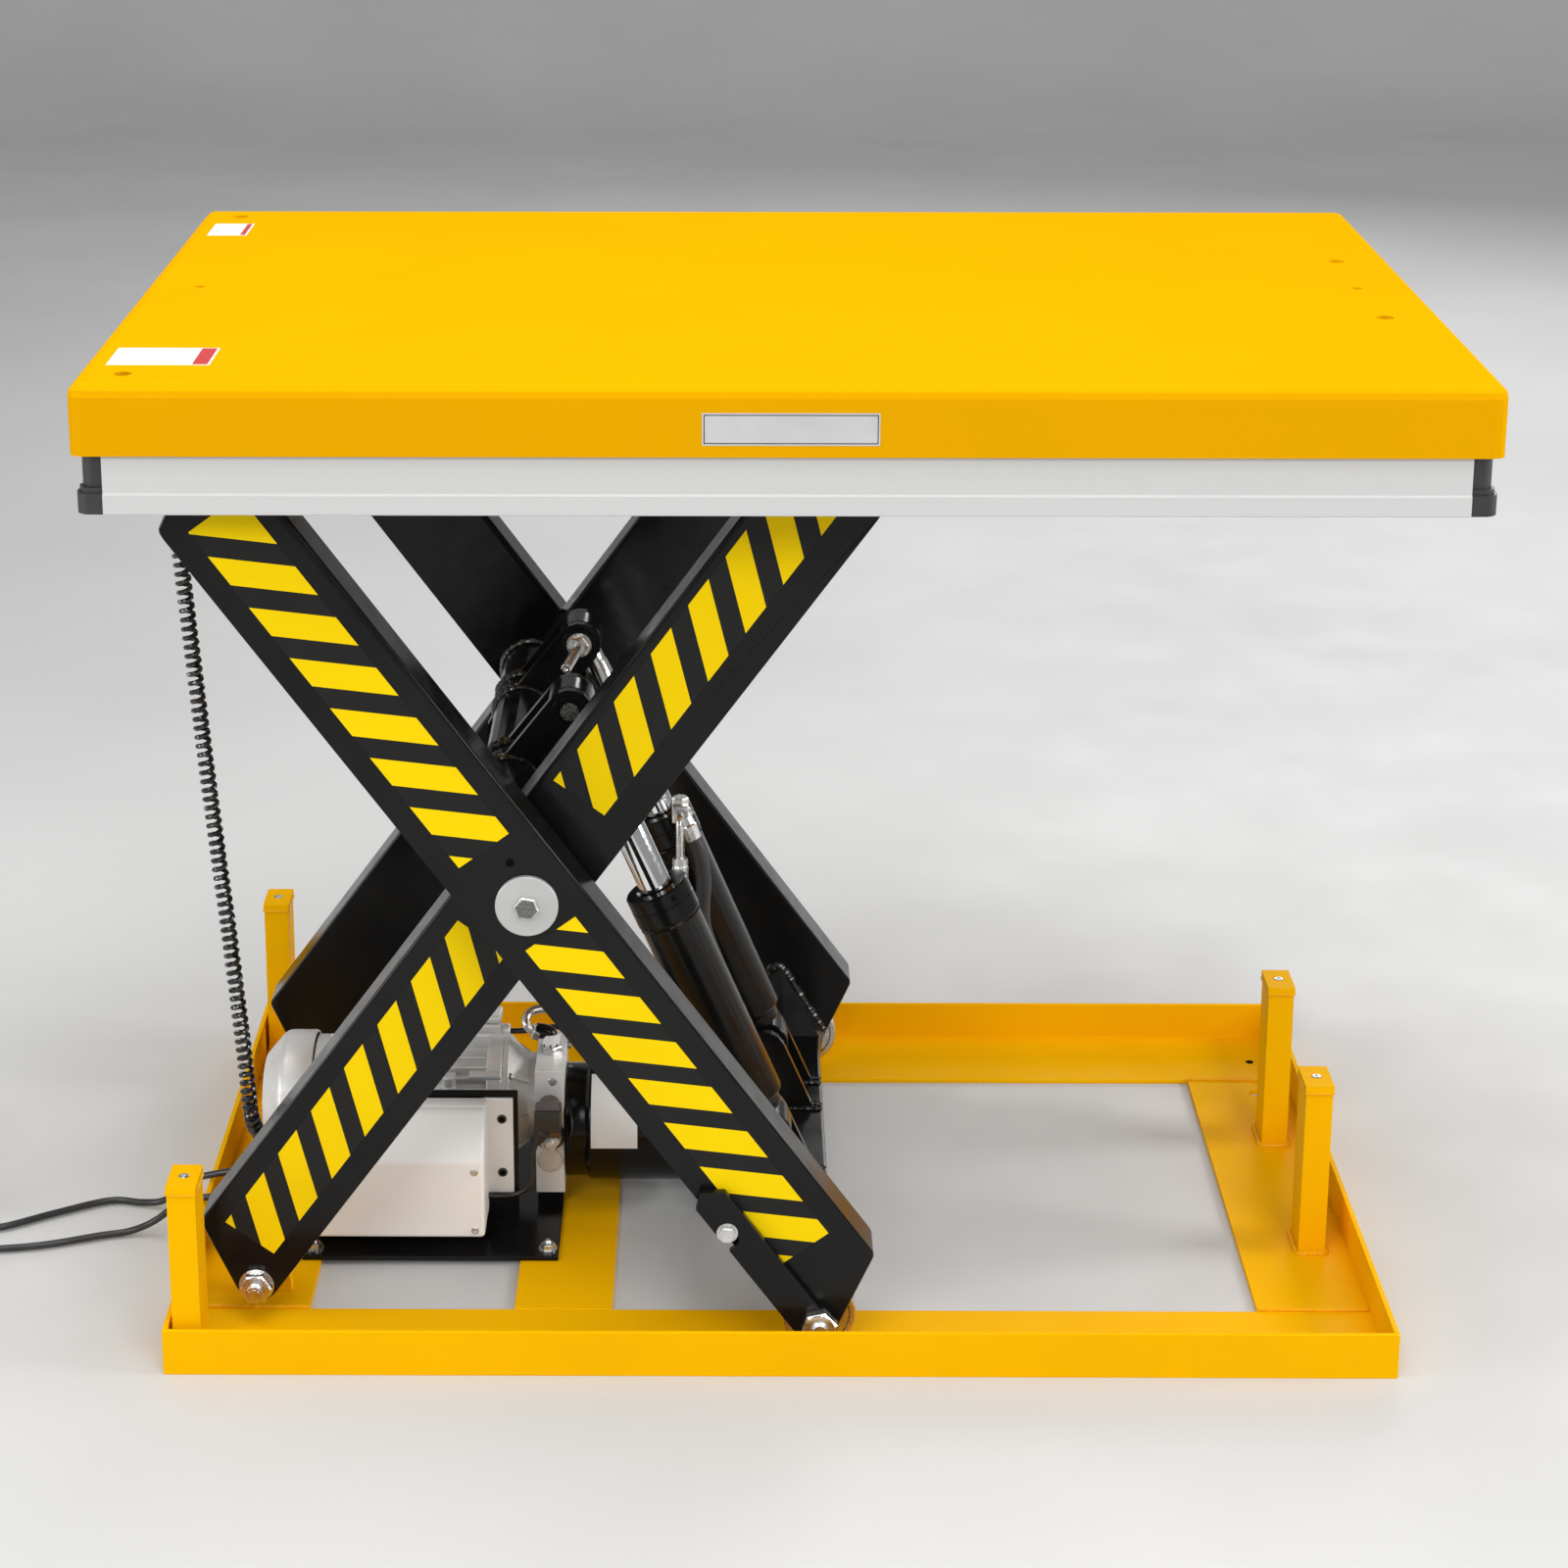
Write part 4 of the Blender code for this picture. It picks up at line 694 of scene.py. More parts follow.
def arm_welds():
    shape = Shape()
    for side, _ in SIDES:
        y = side * 0.303
        bead(shape, [at(-0.0064, y, 0.119), at(-0.0044, y, 0.1267), at(0.0103, y, 0.1347),
                     at(0.035, y, 0.096), at(0.0636, y, 0.0514)], 0.0046, side)
        bead(shape, [at(0.015, y, 0.021), at(0.035, y, 0.0205), at(0.056, y, 0.0215)], 0.0036, side + 3)
        for offset in (-0.033, 0.033):
            for edge in (-0.0058, 0.0058):
                lug_y = side * CYLINDER_Y + offset + edge
                bead(shape, [at(0.016, lug_y, 0.064), at(0.054, lug_y, 0.064)], 0.0028, lug_y * 50)
    shape.piece("foot_welds", "weld", "outer_arms")

    shape = Shape()
    tube = on_arm("inner", 0.015, 0.048, 0.0)

    def round_tube(radius, y, start, sweep, steps):
        angles = [math.radians(start + sweep * step / steps) for step in range(steps + 1)]
        return [tube + Vector((radius * math.cos(angle), y, radius * math.sin(angle))) for angle in angles]

    for side, _ in SIDES:
        bead(shape, round_tube(0.0315, side * 0.238, 0, 360, 24), 0.0034, side)
        for offset in (-0.023, 0.023):
            for edge in (-0.0058, 0.0058):
                lug_y = side * CYLINDER_Y + offset + edge
                bead(shape, round_tube(0.0308, lug_y, -40, 250, 14), 0.003, lug_y * 50)
    shape.piece("head_welds", "weld", "inner_arms")


# ---- lifting cylinders --------------------------------------------------------------------
def cylinder_pins():
    for side, word in SIDES:
        y = side * CYLINDER_Y
        head = on_pin(HEAD, y - 0.0285)
        pin = Shape()
        if side > 0:
            pin.disc(head, FRONT, 0.0135, 0.002, 32)
            pin.hexagon(head + Vector((0, -0.002, 0)), FRONT, 0.012, 0.008, 0.4)
            pin.lathe([(0, 0), (0, 0.0056), (0.048, 0.0056), (0.049, 0.0046), (0.049, 0.0026), (0.046, 0)],
                      head + Vector((0, -0.0085, 0)), (-0.25, -1.0, -0.2), 24)
        pin.rod(head, on_pin(HEAD, y + 0.029), 0.0098)
        pin.hexagon(on_pin(HEAD, y + 0.0282), BACK, 0.014, 0.008, 0.1)
        pin.piece(f"rod_eye_bolt_{word}", "zinc", "inner_arms")
        rings = Shape()
        for out in (-1, 1):
            rings.lathe([(0, 0.0125), (0, 0.0185), (0.0022, 0.0175), (0.0022, 0.0125)],
                        on_pin(HEAD, y + out * (0.0285 - 0.0004)), (0, out, 0), 48, closed=True)
        rings.piece(f"lug_bosses_{word}", "black", "inner_arms")


def eye_profile(half, bore, rim, ease):
    """A section through an eye for a pin, with its rim eased."""
    return [(-half, bore), (-half, rim - ease), (-half + ease, rim), (half - ease, rim), (half, rim - ease),
            (half, bore)]


def cylinders():
    for side, word in SIDES:
        y = side * CYLINDER_Y
        foot = on_pin(FOOT, y)
        barrel = Shape()
        barrel.lathe([(0.022, 0), (0.022, 0.025), (0.025, 0.0262), (0.033, 0.0262), (0.038, 0.0318),
                      (0.04, 0.0325), (0.256, 0.0325), (0.258, 0.0334), (0.26, 0.0325), (0.262, 0.033),
                      (0.263, 0.034), (0.279, 0.034), (0.2796, 0.0332), (0.2808, 0.0332), (0.2814, 0.034),
                      (0.2945, 0.034), (0.296, 0.0326), (0.296, 0.0214), (0.2945, 0.0196), (0.293, 0.0183),
                      (0.272, 0.0183), (0.272, 0)], foot, CYLINDER_AXIS, 72)
        barrel.lathe(eye_profile(0.02, 0.0153, 0.026, 0.0012), foot, BACK, 56, closed=True)
        barrel.piece(f"barrel_{word}", "black", "cylinder_barrels", (f"cylinder_barrel_{word}",))

        start, neck, end = CYLINDER_LENGTH - 0.279, CYLINDER_LENGTH - 0.034, CYLINDER_LENGTH - 0.008
        rod = Shape().lathe([(start, 0), (start, 0.0174), (neck, 0.0174), (CYLINDER_LENGTH - 0.03, 0.016),
                             (end, 0.016), (end, 0)], foot, CYLINDER_AXIS, 72)
        rod.piece(f"piston_rod_{word}", "chrome", "cylinder_rods", (f"cylinder_rod_{word}",))
        eye = Shape()
        eye.lathe(eye_profile(0.0172, 0.0105, 0.0235, 0.001), on_pin(HEAD, y), BACK, 56, closed=True)
        eye.piece(f"rod_eye_{word}", "black", "cylinder_rods")

        # Three near-black dots on the barrel's collar: painted shade for the spanner holes.
        socket = Shape()
        for angle in (-60, 30, 120):
            turn = math.radians(angle)
            outward = Vector((CYLINDER_LINE.y, 0, -CYLINDER_LINE.x)) * math.cos(turn)
            outward += Vector((0, math.sin(turn), 0))
            place = foot + CYLINDER_AXIS * 0.287
            socket.rod(place + outward * 0.033, place + outward * 0.0342, 0.003, 20, 0.0001)
        socket.piece(f"spanner_hole_shades_{word}", "hole", "cylinder_barrels")
    hoses()


def hoses():
    """Two hoses from the fitting on the rear cylinder's collar down to the ports at its foot."""
    metal = Shape()
    metal.box(at(-0.113, 0.068, 0.404), at(-0.095, 0.092, 0.424), 0.0015)
    metal.hexagon(at(-0.104, 0.08, 0.424), UP, 0.009, 0.007)
    metal.rod(on_cylinder(0.288, 0.03, 0.09), at(-0.103, 0.08, 0.412), 0.007)
    metal.pipe([at(-0.104, 0.068, 0.413), at(-0.1045, 0.06, 0.411), at(-0.1042, 0.056, 0.4),
                at(-0.104, 0.055, 0.385), at(-0.104, 0.055, 0.368)], 0.002, 0.0046, 16)
    metal.lathe([(0, 0), (0, 0.008), (0.007, 0.0088), (0.008, 0.0078), (0.011, 0.009), (0.032, 0.0092),
                 (0.034, 0.0084), (0.034, 0)], at(-0.104, 0.055, 0.37), (0, 0, -1), 10)
    metal.lathe([(0, 0), (0, 0.0078), (0.008, 0.0088), (0.009, 0.0078), (0.011, 0.0092), (0.026, 0.0092),
                 (0.028, 0.0084), (0.028, 0)], at(-0.099, 0.062, 0.415), (0.36, -0.06, -1.0), 10)
    for beside in (-0.026, -0.006):
        metal.disc(on_cylinder(0.058, beside, 0.058), CYLINDER_AXIS, 0.0088, 0.02, 10)
        metal.pipe([on_cylinder(0.06, beside, 0.058), on_cylinder(0.05, beside, 0.0585),
                    on_cylinder(0.043, beside, 0.064), on_cylinder(0.04, beside, 0.074),
                    on_cylinder(0.04, beside, 0.09)], 0.003, 0.006, 16)
    metal.piece("hose_fittings", "zinc", "cylinder_barrels", smooth=25)

    rubber = Shape()
    rubber.pipe([at(-0.104, 0.055, 0.338), at(-0.104, 0.055, 0.32), at(-0.101, 0.055, 0.295),
                 on_cylinder(0.145, -0.024, 0.057), on_cylinder(0.105, -0.026, 0.058),
                 on_cylinder(0.076, -0.026, 0.058)], 0.004, 0.0078, 20)
    rubber.pipe([at(-0.089, 0.06, 0.389), at(-0.083, 0.058, 0.374), at(-0.0785, 0.056, 0.342),
                 at(-0.08, 0.055, 0.313), at(-0.078, 0.055, 0.287), on_cylinder(0.135, -0.004, 0.057),
                 on_cylinder(0.1, -0.006, 0.058), on_cylinder(0.076, -0.006, 0.058)], 0.004, 0.0085, 20)
    rubber.piece("hydraulic_hoses", "hose", "cylinder_barrels")


# ---- deck ---------------------------------------------------------------------------------
def deck():
    dress("deck", "table_top")
    film, margin = 0.0003, 0.002
    for name, x_low, x_high, y_low, y_high in (("rear", -0.6265, -0.583, 0.27, 0.337),
                                               ("front", -0.6266, -0.531, -0.347, -0.278)):
        label = Shape().prism(rectangle(x_low, x_high, y_low, y_high, DECK_TOP), (0, 0, film))
        label.piece(f"deck_label_{name}", "paper", "table")
        red_from = x_high - (x_high - x_low) * 0.17
        block = Shape().prism(rectangle(red_from, x_high - margin, y_low + margin, y_high - margin,
                                        DECK_TOP), (0, 0, 1.6 * film))
        block.piece(f"deck_label_{name}_block", "red", "table")

    def upright(x_low, x_high, z_low, z_high):
        corners = ((x_low, z_low), (x_high, z_low), (x_high, z_high), (x_low, z_high))
        return [at(x, DECK_LOW.y, z) for x, z in corners]

    low_x, high_x, low_z, high_z = -0.0766, 0.0842, 0.9597, 0.99
    plate = Shape().prism(upright(low_x, high_x, low_z, high_z), (0, -film, 0))
    plate.piece("capacity_plate", "silver_label", "table")
    line, inset = 0.0008, 0.0016
    left, right, foot, head = low_x + inset, high_x - inset, low_z + inset, high_z - inset
    border = Shape()
    for sides in ((left, right, foot, foot + line), (left, right, head - line, head),
                  (left, left + line, foot, head), (right - line, right, foot, head)):
        border.prism(upright(*sides), (0, -1.5 * film, 0))
    border.piece("capacity_plate_border", "sticker_black", "table")


def trip_bars():
    """Hollow extrusions with a lip along the foot, and the black moulded corners that join them."""
    low, lip, high, wall = 0.892, 0.9105, 0.97, 0.002

    def section(out):
        """The section of a bar whose outer face is so far out."""
        web, back, inner = out - 0.002, out - 0.006, out - 0.0195
        return [(out, low + 0.0008), (out, lip), (out - 0.0016, lip + 0.0012), (web, lip + wall),
                (web, high - 0.0006), (out - 0.0026, high), (back, high), (back, high - wall),
                (back + wall, high - wall), (back + wall, low + wall), (inner, low + wall), (inner, low),
                (out - 0.0008, low)]

    def bar(word, points, length):
        shape = Shape().prism(points, length)
        shape.piece(f"trip_extrusion_{word}", "extrusion", "trip_frame", (f"trip_bar_{word}",), 25)

    for side, word in SIDES:
        bar(word, [at(-0.6215, side * y, z) for y, z in section(0.4205)], (1.243, 0, 0))
    ends = ((-1, "left"), (1, "right"))
    for side, word in ends:
        bar(word, [at(side * x, -0.4005, z) for x, z in section(0.6445)], (0, 0.801, 0))

    x_in, y_in, x_out, y_out, radius = 0.6218, 0.4008, 0.6465, 0.42, 0.013
    for x_side, x_word in ends:
        for y_side, y_word in SIDES:
            shape = Shape()
            for z_low, z_high, trim in ((0.8925, 0.912, 0.0), (0.912, 0.917, 0.0022),
                                        (0.917, 0.956, 0.005)):
                x_turn, y_turn = x_out - trim - radius, y_out - trim - radius
                corner = [(x_in, y_in), (x_out - trim, y_in)]
                for step in range(7):
                    angle = math.radians(15 * step)
                    corner.append((x_turn + radius * math.cos(angle), y_turn + radius * math.sin(angle)))
                corner.append((x_in, y_out - trim))
                shape.prism([at(x_side * x, y_side * y, z_low) for x, y in corner], (0, 0, z_high - z_low))
            shape.lathe([(0, 0), (0, 0.0062), (0.0022, 0.0062), (0.004, 0.0046), (0.004, 0)],
                        at(x_side * 0.633, y_side * 0.41, 0.956), UP, 20)
            shape.piece(f"trip_corner_{x_word}_{y_word}", "plastic", "trip_frame")
    hangers = Shape()
    for x in (-0.56, 0.56):
        for side, _ in SIDES:
            hangers.rod(at(x, side * 0.4075, 0.93), at(x, side * 0.4075, 0.956), 0.004)
            hangers.hexagon(at(x, side * 0.4075, 0.942), UP, 0.0058, 0.005)
    hangers.piece("trip_hanger_screws", "zinc", "trip_frame")


# ---- power unit ---------------------------------------------------------------------------
DIAGONALS = [math.radians(angle) for angle in (45, 135, 225, 315)]


def motor():
    centre = at(0, 0, MOTOR_Z)
    frame_shape = Shape()
    fins, root, tip = 34, 0.055, 0.0672
    outline = []
    for fin in range(fins):
        for radius, offset in ((root, -0.056), (tip, -0.017), (tip, 0.017), (root, 0.056)):
            outline.append(on_motor(-0.486, radius, 2 * math.pi * fin / fins + offset))
    frame_shape.prism(outline, (0.174, 0, 0))
    for start, end in ((-0.4995, -0.486), (-0.312, -0.2948)):
        frame_shape.lathe([(start, 0.03), (start, 0.066), (start + 0.0015, 0.0672), (end - 0.0015, 0.0672),
                           (end, 0.066), (end, 0.03)], centre, RIGHT, 72, closed=True)
    for angle in DIAGONALS:
        for start, end in ((-0.33, -0.296), (-0.498, -0.476)):
            frame_shape.rod(on_motor(start, 0.064, angle), on_motor(end, 0.064, angle), 0.0062, 20)
    for low, high, radius, edge in ((0.142, 0.165, 0.0068, 0.0012), (0.148, 0.154, 0.0082, 0.001)):
        frame_shape.rod(at(-0.3515, -0.061, low), at(-0.3515, -0.061, high), radius, 28, edge)
    frame_shape.box(at(-0.358, -0.06, 0.145), at(-0.345, -0.04, 0.16), 0.001)
    frame_shape.piece("motor_frame", "cast", "base", ("motor_housing",), 30)
    fan_cover(centre)
    bell(centre)

    terminal = Shape()
    terminal.box(at(-0.4, 0.069, 0.1), at(-0.305, 0.1, 0.165), 0.003)
    terminal.box(at(-0.402, 0.069, 0.1655), at(-0.303, 0.1015, 0.174), 0.0025)
    terminal.lathe([(0, 0), (0, 0.0085), (0.009, 0.0085), (0.011, 0.007), (0.011, 0)],
                   at(-0.3052, 0.086, 0.15), RIGHT, 20)
    terminal.piece("terminal_cover", "cast", "base", ("terminal_box",))
    cable = Shape().pipe([at(-0.295, 0.086, 0.15), at(-0.28, 0.087, 0.15), at(-0.26, 0.09, 0.152),
                          at(-0.22, 0.092, 0.153), at(-0.17, 0.09, 0.152), at(-0.145, 0.078, 0.145),
                          at(-0.14, 0.06, 0.125), at(-0.14, 0.056, 0.105)], 0.004, 0.0032, 14)
    cable.piece("motor_cable", "rubber", "base")


def fan_cover(centre):
    """A pressed cover with a cone round its end and a grille of rings and spokes."""
    cover = Shape()
    cover.lathe([(-0.555, 0.03), (-0.555, 0.044), (-0.5544, 0.0462), (-0.553, 0.0484), (-0.537, 0.0672),
                 (-0.535, 0.0692), (-0.5325, 0.0708), (-0.529, 0.0718), (-0.524, 0.072), (-0.502, 0.072),
                 (-0.5003, 0.071), (-0.5003, 0.0695), (-0.529, 0.069), (-0.534, 0.066), (-0.5525, 0.0445),
                 (-0.5525, 0.03)], centre, RIGHT, 96, closed=True)
    for ring in (0.012, 0.021):
        cover.lathe([(-0.5545, ring - 0.0016), (-0.555, ring), (-0.5545, ring + 0.0016), (-0.553, ring)],
                    centre, RIGHT, 48, closed=True)
    spokes = 12
    for spoke in range(spokes):
        angle = 2 * math.pi * spoke / spokes
        cover.rod(on_motor(-0.5538, 0.006, angle), on_motor(-0.5538, 0.031, angle), 0.0013, 10, 0.0002)
    cover.lathe([(-0.5548, 0), (-0.5548, 0.007), (-0.5528, 0.007), (-0.5528, 0)], centre, RIGHT, 32)
    cover.piece("fan_cover", "cast", "base", ("motor_fan_cover",))


def bell(centre):
    """The bell housing between motor and valve block, with eight ribs, and its four bolts."""
    housing = Shape()
    housing.lathe([(-0.2944, 0.05), (-0.2944, 0.0668), (-0.2936, 0.0675), (-0.2888, 0.0675),
                   (-0.2878, 0.0664), (-0.286, 0.064), (-0.279, 0.056), (-0.272, 0.05), (-0.269, 0.0482),
                   (-0.267, 0.048), (-0.26, 0.048), (-0.2595, 0.0475), (-0.2595, 0.011), (-0.267, 0.011),
                   (-0.267, 0.04), (-0.2944, 0.05)], centre, RIGHT, 72)
    ribs = 8
    for rib in range(ribs):
        angle = 2 * math.pi * rib / ribs
        side = Vector((0, -math.sin(angle), math.cos(angle))) * 0.0018
        rim = ((-0.2885, 0.06), (-0.2885, 0.0668), (-0.2665, 0.05), (-0.2665, 0.044))
        housing.prism([on_motor(x, radius, angle) - side for x, radius in rim], 2 * side)
    housing.piece("bell", "cast", "base", ("bell_housing",))
    bolts = Shape()
    for angle in DIAGONALS:
        bolts.hexagon(on_motor(-0.2885, 0.06176, angle), RIGHT, 0.0052, 0.004)
    bolts.piece("bell_bolts", "zinc", "base")


def valve_group():
    dress("machined", "valve_block")
    dress("smoked", "solenoid_valve")
    place = at(-0.2436, -0.0582, 0.093)
    knob = Shape()
    knob.lathe([(0, 0), (0, 0.0125), (0.004, 0.0125), (0.005, 0.011), (0.005, 0)], place, FRONT, 40)
    knob.hexagon(place + Vector((0, -0.005, 0)), FRONT, 0.0115, 0.009, 0.2)
    knob.lathe([(0, 0), (0, 0.0066), (0.004, 0.0062), (0.007, 0.004), (0.0082, 0)],
               place + Vector((0, -0.014, 0)), FRONT, 32)
    knob.lathe([(0, 0), (0, 0.0135), (0.0018, 0.0135), (0.0024, 0.0125), (0.0024, 0)],
               at(-0.2436, -0.0552, 0.064), FRONT, 40)
    knob.piece("lowering_valve_knob", "cast", "base", smooth=25)

    metal = Shape()
    metal.hexagon(at(-0.244, -0.005, 0.168), UP, 0.0125, 0.008)
    metal.disc(at(-0.244, -0.005, 0.1755), UP, 0.01, 0.003, 24)
    metal.hexagon(at(-0.256, -0.005, 0.19), (-1, 0, 0.35), 0.0095, 0.008)
    metal.lathe([(0, 0), (0, 0.0046), (0.0006, 0.0046), (0.001, 0.004), (0.001, 0)],
                at(-0.24, -0.055, 0.156), FRONT, 20)
    for z in (0.034, 0.12, 0.16):
        metal.rod(at(-0.2281, 0.03, z), at(-0.224, 0.03, z), 0.0045, 20)
    metal.pipe([at(-0.262, -0.005, 0.192), at(-0.27, -0.005, 0.198), at(-0.27, 0.004, 0.206),
                at(-0.258, 0.012, 0.21), at(-0.23, 0.016, 0.208), at(-0.2, 0.02, 0.198),
                at(-0.185, 0.022, 0.18), at(-0.182, 0.022, 0.15)], 0.003, 0.0048, 18)
    metal.hexagon(at(-0.182, 0.022, 0.149), UP, 0.0092, 0.008)
    metal.piece("valve_fittings", "zinc", "base", smooth=25)

    elbow = Shape().pipe([at(-0.244, -0.005, 0.176), at(-0.244, -0.005, 0.185), at(-0.247, -0.005, 0.19),
                          at(-0.253, -0.005, 0.1918), at(-0.26, -0.005, 0.1925)], 0.0015, 0.0084, 20)
    elbow.disc(at(-0.244, -0.005, 0.176), UP, 0.0102, 0.004, 8)
    elbow.piece("hose_elbow", "black", "base", slot="black_plastic")

    connector = Shape().box(at(-0.257, -0.1045, 0.12), at(-0.2302, -0.101, 0.144), 0.0012)
    connector.lathe([(0, 0), (0, 0.0095), (0.005, 0.0095), (0.0065, 0.008), (0.012, 0.0066), (0.016, 0.0042),
                     (0.016, 0)], at(-0.248, -0.096, 0.12), (-0.45, -0.15, -0.87), 28)
    connector.lathe([(0, 0), (0, 0.016), (0.0018, 0.0165), (0.003, 0.0155), (0.003, 0)],
                    at(-0.2436, -0.0552, 0.093), FRONT, 40)
    connector.piece("solenoid_gland", "plastic", "base")
    wire = Shape().pipe([at(-0.255, -0.0984, 0.1064), at(-0.259, -0.1, 0.097), at(-0.2608, -0.101, 0.083),
                         at(-0.261, -0.101, 0.069), at(-0.265, -0.1015, 0.056), at(-0.276, -0.1025, 0.048),
                         at(-0.294, -0.104, 0.046), at(-0.308, -0.107, 0.048)], 0.003, 0.0029, 14)
    wire.piece("solenoid_wire", "rubber", "base")
    wires = Shape().pipe([at(-0.2281, 0.008, 0.118), at(-0.222, -0.052, 0.122), at(-0.219, -0.07, 0.108),
                          at(-0.223, -0.062, 0.09)], 0.003, 0.0018, 10)
    wires.piece("sensor_wire", "rubber", "base")


def tank():
    centre = at(0, -0.005, 0.0885)
    shape = Shape()
    shape.lathe([(-0.2277, 0.056), (-0.2277, 0.061), (-0.2262, 0.0618), (-0.225, 0.061), (-0.206, 0.061),
                 (-0.204, 0.0616), (-0.201, 0.0648), (-0.1995, 0.065), (-0.083, 0.065), (-0.078, 0.0636),
                 (-0.0735, 0.059), (-0.0712, 0.052), (-0.07, 0.044), (-0.0706, 0.042), (-0.0716, 0.04),
                 (-0.0716, 0)], centre, RIGHT, 96)
    shape.lathe([(-0.0716, 0), (-0.0716, 0.01), (-0.069, 0.01), (-0.068, 0.009), (-0.068, 0)],
                centre + Vector((0, 0, 0.036)), RIGHT, 6)
    shape.piece("tank_shell", "black", "base", ("oil_tank",))

    radius, film, steps = 0.0652, 0.0003, 9
    angles = [math.radians(183.0 - 75.0 * step / steps) for step in range(steps + 1)]
    outline = [(radius, angle) for angle in angles] + [(radius + film, angle) for angle in reversed(angles)]
    label = Shape().prism([centre + Vector((-0.199, layer * math.cos(angle), layer * math.sin(angle)))
                           for layer, angle in outline], (0.05, 0, 0))
    label.piece("tank_label", "paper", "base", smooth=60)
    cap = Shape().lathe([(0, 0), (0, 0.013), (0.01, 0.013), (0.012, 0.0115), (0.012, 0)],
                        at(-0.12, -0.005, 0.1525), UP, 24)
    cap.piece("filler_cap", "plastic", "base")


def control_box():
    left, right, low, high = -0.505, -0.307, 0.03, 0.158
    tray = Shape()
    tray.box(at(left, -0.1182, low), at(right, -0.0975, high), 0.0025)
    tray.box(at(right - 0.004, -0.1003, 0.048), at(-0.28, -0.0973, high), 0.0009)
    tray.piece("box_tray", "white", "base", ("control_box",))

    outline = [(-0.1186, low), (-0.168, low), (-0.168, 0.118), (-0.13, high), (-0.1186, high)]
    cover = Shape().prism([at(left, y, z) for y, z in outline], (right - left, 0, 0), 0.0045, 4)
    cover.piece("box_cover", "white", "base", ("control_box_cover",))

    screws = Shape()
    for x in (left + 0.01, right - 0.01):
        for z in (low + 0.009, 0.106):
            screws.lathe([(0, 0), (0, 0.0042), (0.0008, 0.004), (0.0016, 0.0026), (0.0016, 0.001),
                          (0.0008, 0)], at(x, -0.1679, z), FRONT, 24)
    screws.piece("cover_screws", "zinc", "base")

    eyelets, hole_shades = Shape(), Shape()
    for z in (0.072, 0.134):
        place = at(-0.292, -0.1003, z)
        eyelets.lathe([(0, 0.003), (0, 0.0052), (0.0008, 0.005), (0.0012, 0.0042), (0.0012, 0.003)], place,
                      FRONT, 24, closed=True)
        # A near-black disc in each eyelet: painted shade for the hole through the flange.
        hole_shades.rod(place, at(-0.292, -0.1008, z), 0.0032, 16, 0.0001)
    eyelets.piece("flange_eyelets", "plastic", "base")
    hole_shades.piece("flange_hole_shades", "hole", "base", slot="black_plastic")

    glands = Shape()
    for z in (0.05, 0.085, 0.12):
        glands.hexagon(at(left + 0.0005, -0.108, z), LEFT, 0.0105, 0.006, 0.5)
        profile = [(0, 0), (0, 0.0082)]
        for ridge in range(4):
            profile += [(0.002 + ridge * 0.0022, 0.0088), (0.0031 + ridge * 0.0022, 0.0082)]
        profile += [(0.0112, 0.0066), (0.0112, 0)]
        glands.lathe(profile, at(left - 0.0055, -0.108, z), LEFT, 24)
    glands.piece("cable_glands", "plastic", "base")


def power_unit():
    dress("black", "power_unit_plate", bevel=0.001, segments=2)
    dress("zinc", "motor_rotor")
    motor()
    valve_group()
    tank()
    control_box()
    bolts = Shape()
    for x, y in ((-0.2417, -0.154), (-0.488, -0.154), (-0.2417, 0.114), (-0.488, 0.114)):
        place = at(x, y, 0.0103)
        bolts.disc(place, UP, 0.01, 0.0016, 32)
        bolts.hexagon(place + Vector((0, 0, 0.0016)), UP, 0.0078, 0.0055, 0.3)
        bolts.thread(place + Vector((0, 0, 0.0071)), UP, 0.0038, 0.003)
    bolts.piece("plate_bolts", "zinc", "base")


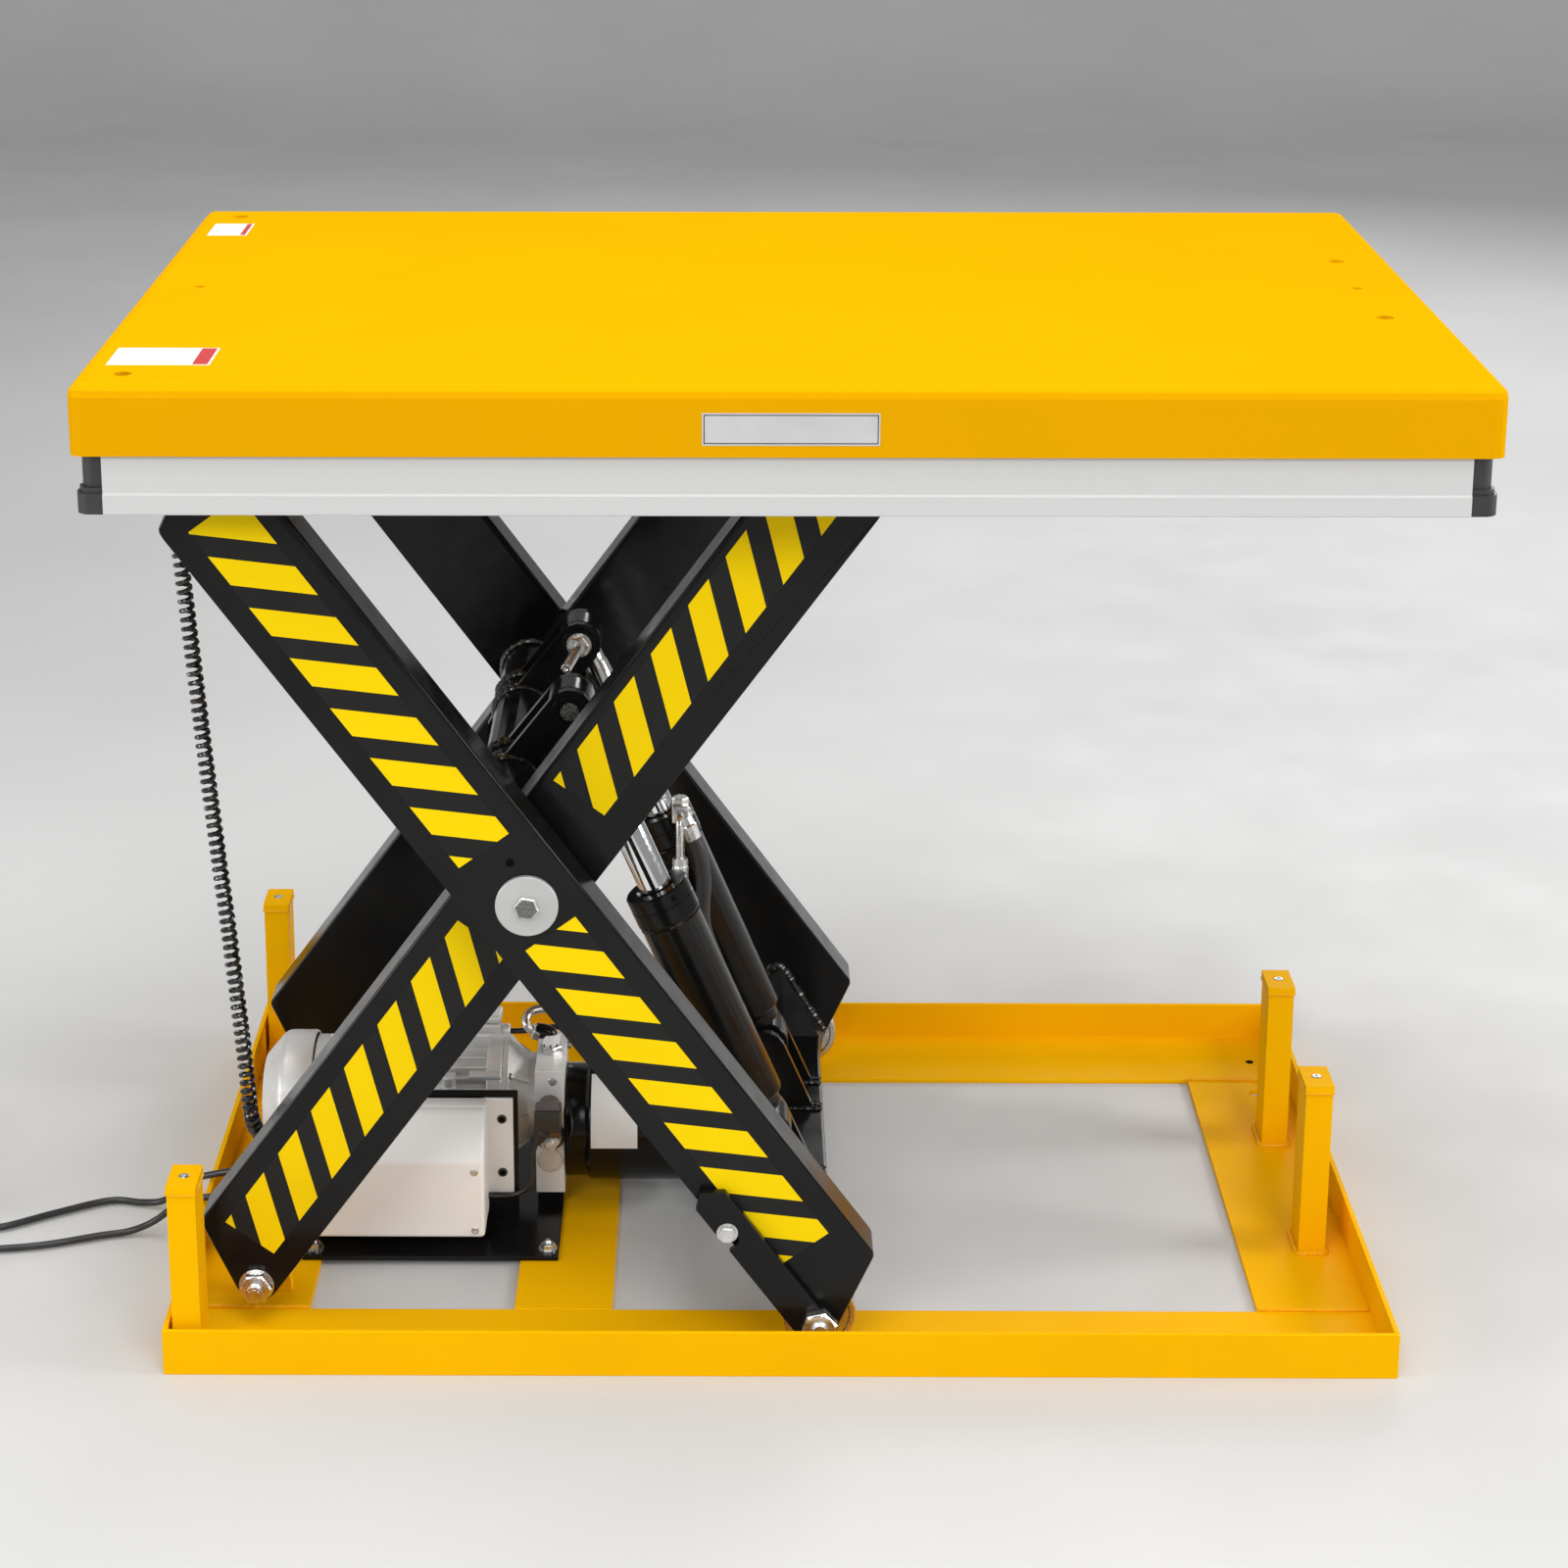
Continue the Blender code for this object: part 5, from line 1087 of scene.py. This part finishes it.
# ---- stage --------------------------------------------------------------------------------
def area_light(name, place, target, size, power, colour=(1.0, 1.0, 1.0)):
    data = bpy.data.lights.new(name, "AREA")
    data.shape = "RECTANGLE"
    data.size, data.size_y = size
    data.energy = power
    data.color = colour
    light = bpy.data.objects.new(name, data)
    SCENE.collection.objects.link(light)
    light.location = place
    light.rotation_euler = (target - place).to_track_quat("-Z", "Y").to_euler()


def stage():
    mesh = bpy.data.meshes.new("floor")
    shape = bmesh.new()
    half, back, sweep, wall, steps = 14.0, 7.0, 2.5, 9.0, 12
    profile = [(-half, 0.0), (back, 0.0)]
    for step in range(1, steps + 1):
        angle = math.radians(90 * step / steps)
        profile.append((back + sweep * math.sin(angle), sweep - sweep * math.cos(angle)))
    profile.append((back + sweep, wall))
    rings = [[shape.verts.new((x, y, z)) for x in (-half, half)] for y, z in profile]
    for near, far in zip(rings, rings[1:]):
        shape.faces.new((near[0], near[1], far[1], far[0]))
    shape.to_mesh(mesh)
    shape.free()
    mesh.shade_smooth()
    floor = bpy.data.objects.new("floor", mesh)
    SCENE.collection.objects.link(floor)
    mesh.materials.append(make_look("studio_floor", (0.6, 0.6, 0.595), (0.56, 0.56, 0.555), (0.55, 0.7),
                                    (90.0, 0.15, 0.0006), blotch=1.5))

    world = bpy.data.worlds.new("studio")
    world.use_nodes = True
    background = world.node_tree.nodes["Background"]
    background.inputs["Color"].default_value = (0.92, 0.93, 0.95, 1.0)
    background.inputs["Strength"].default_value = 0.35
    SCENE.world = world
    area_light("overhead", at(-0.3, -0.5, 3.6), at(0, 0, 0.5), (3.4, 2.6), 100.0)
    area_light("key", at(-3.2, -7.2, 5.0), at(0, 0, 0.2), (4.0, 2.4), 205.0, (1.0, 0.99, 0.97))
    area_light("fill", at(3.4, -7.2, 4.8), at(0, 0, 0.2), (4.0, 2.4), 195.0, (0.98, 0.99, 1.0))
    area_light("side", at(5.5, -0.4, 2.5), at(0.3, 0, 0.1), (2.4, 1.6), 190.0)
    area_light("left", at(-5.0, -2.0, 1.5), at(0, 0.1, 0.1), (2.4, 1.4), 80.0)
    area_light("back", at(1.6, 5.0, 2.4), at(0, 0, 0.1), (2.4, 1.4), 60.0)
    SCENE.view_settings.view_transform = "Standard"


make_camera()
make_cords()
base_frame()
arms()
rollers()
arm_welds()
cylinder_pins()
cylinders()
fasteners()
deck()
trip_bars()
power_unit()
stage()
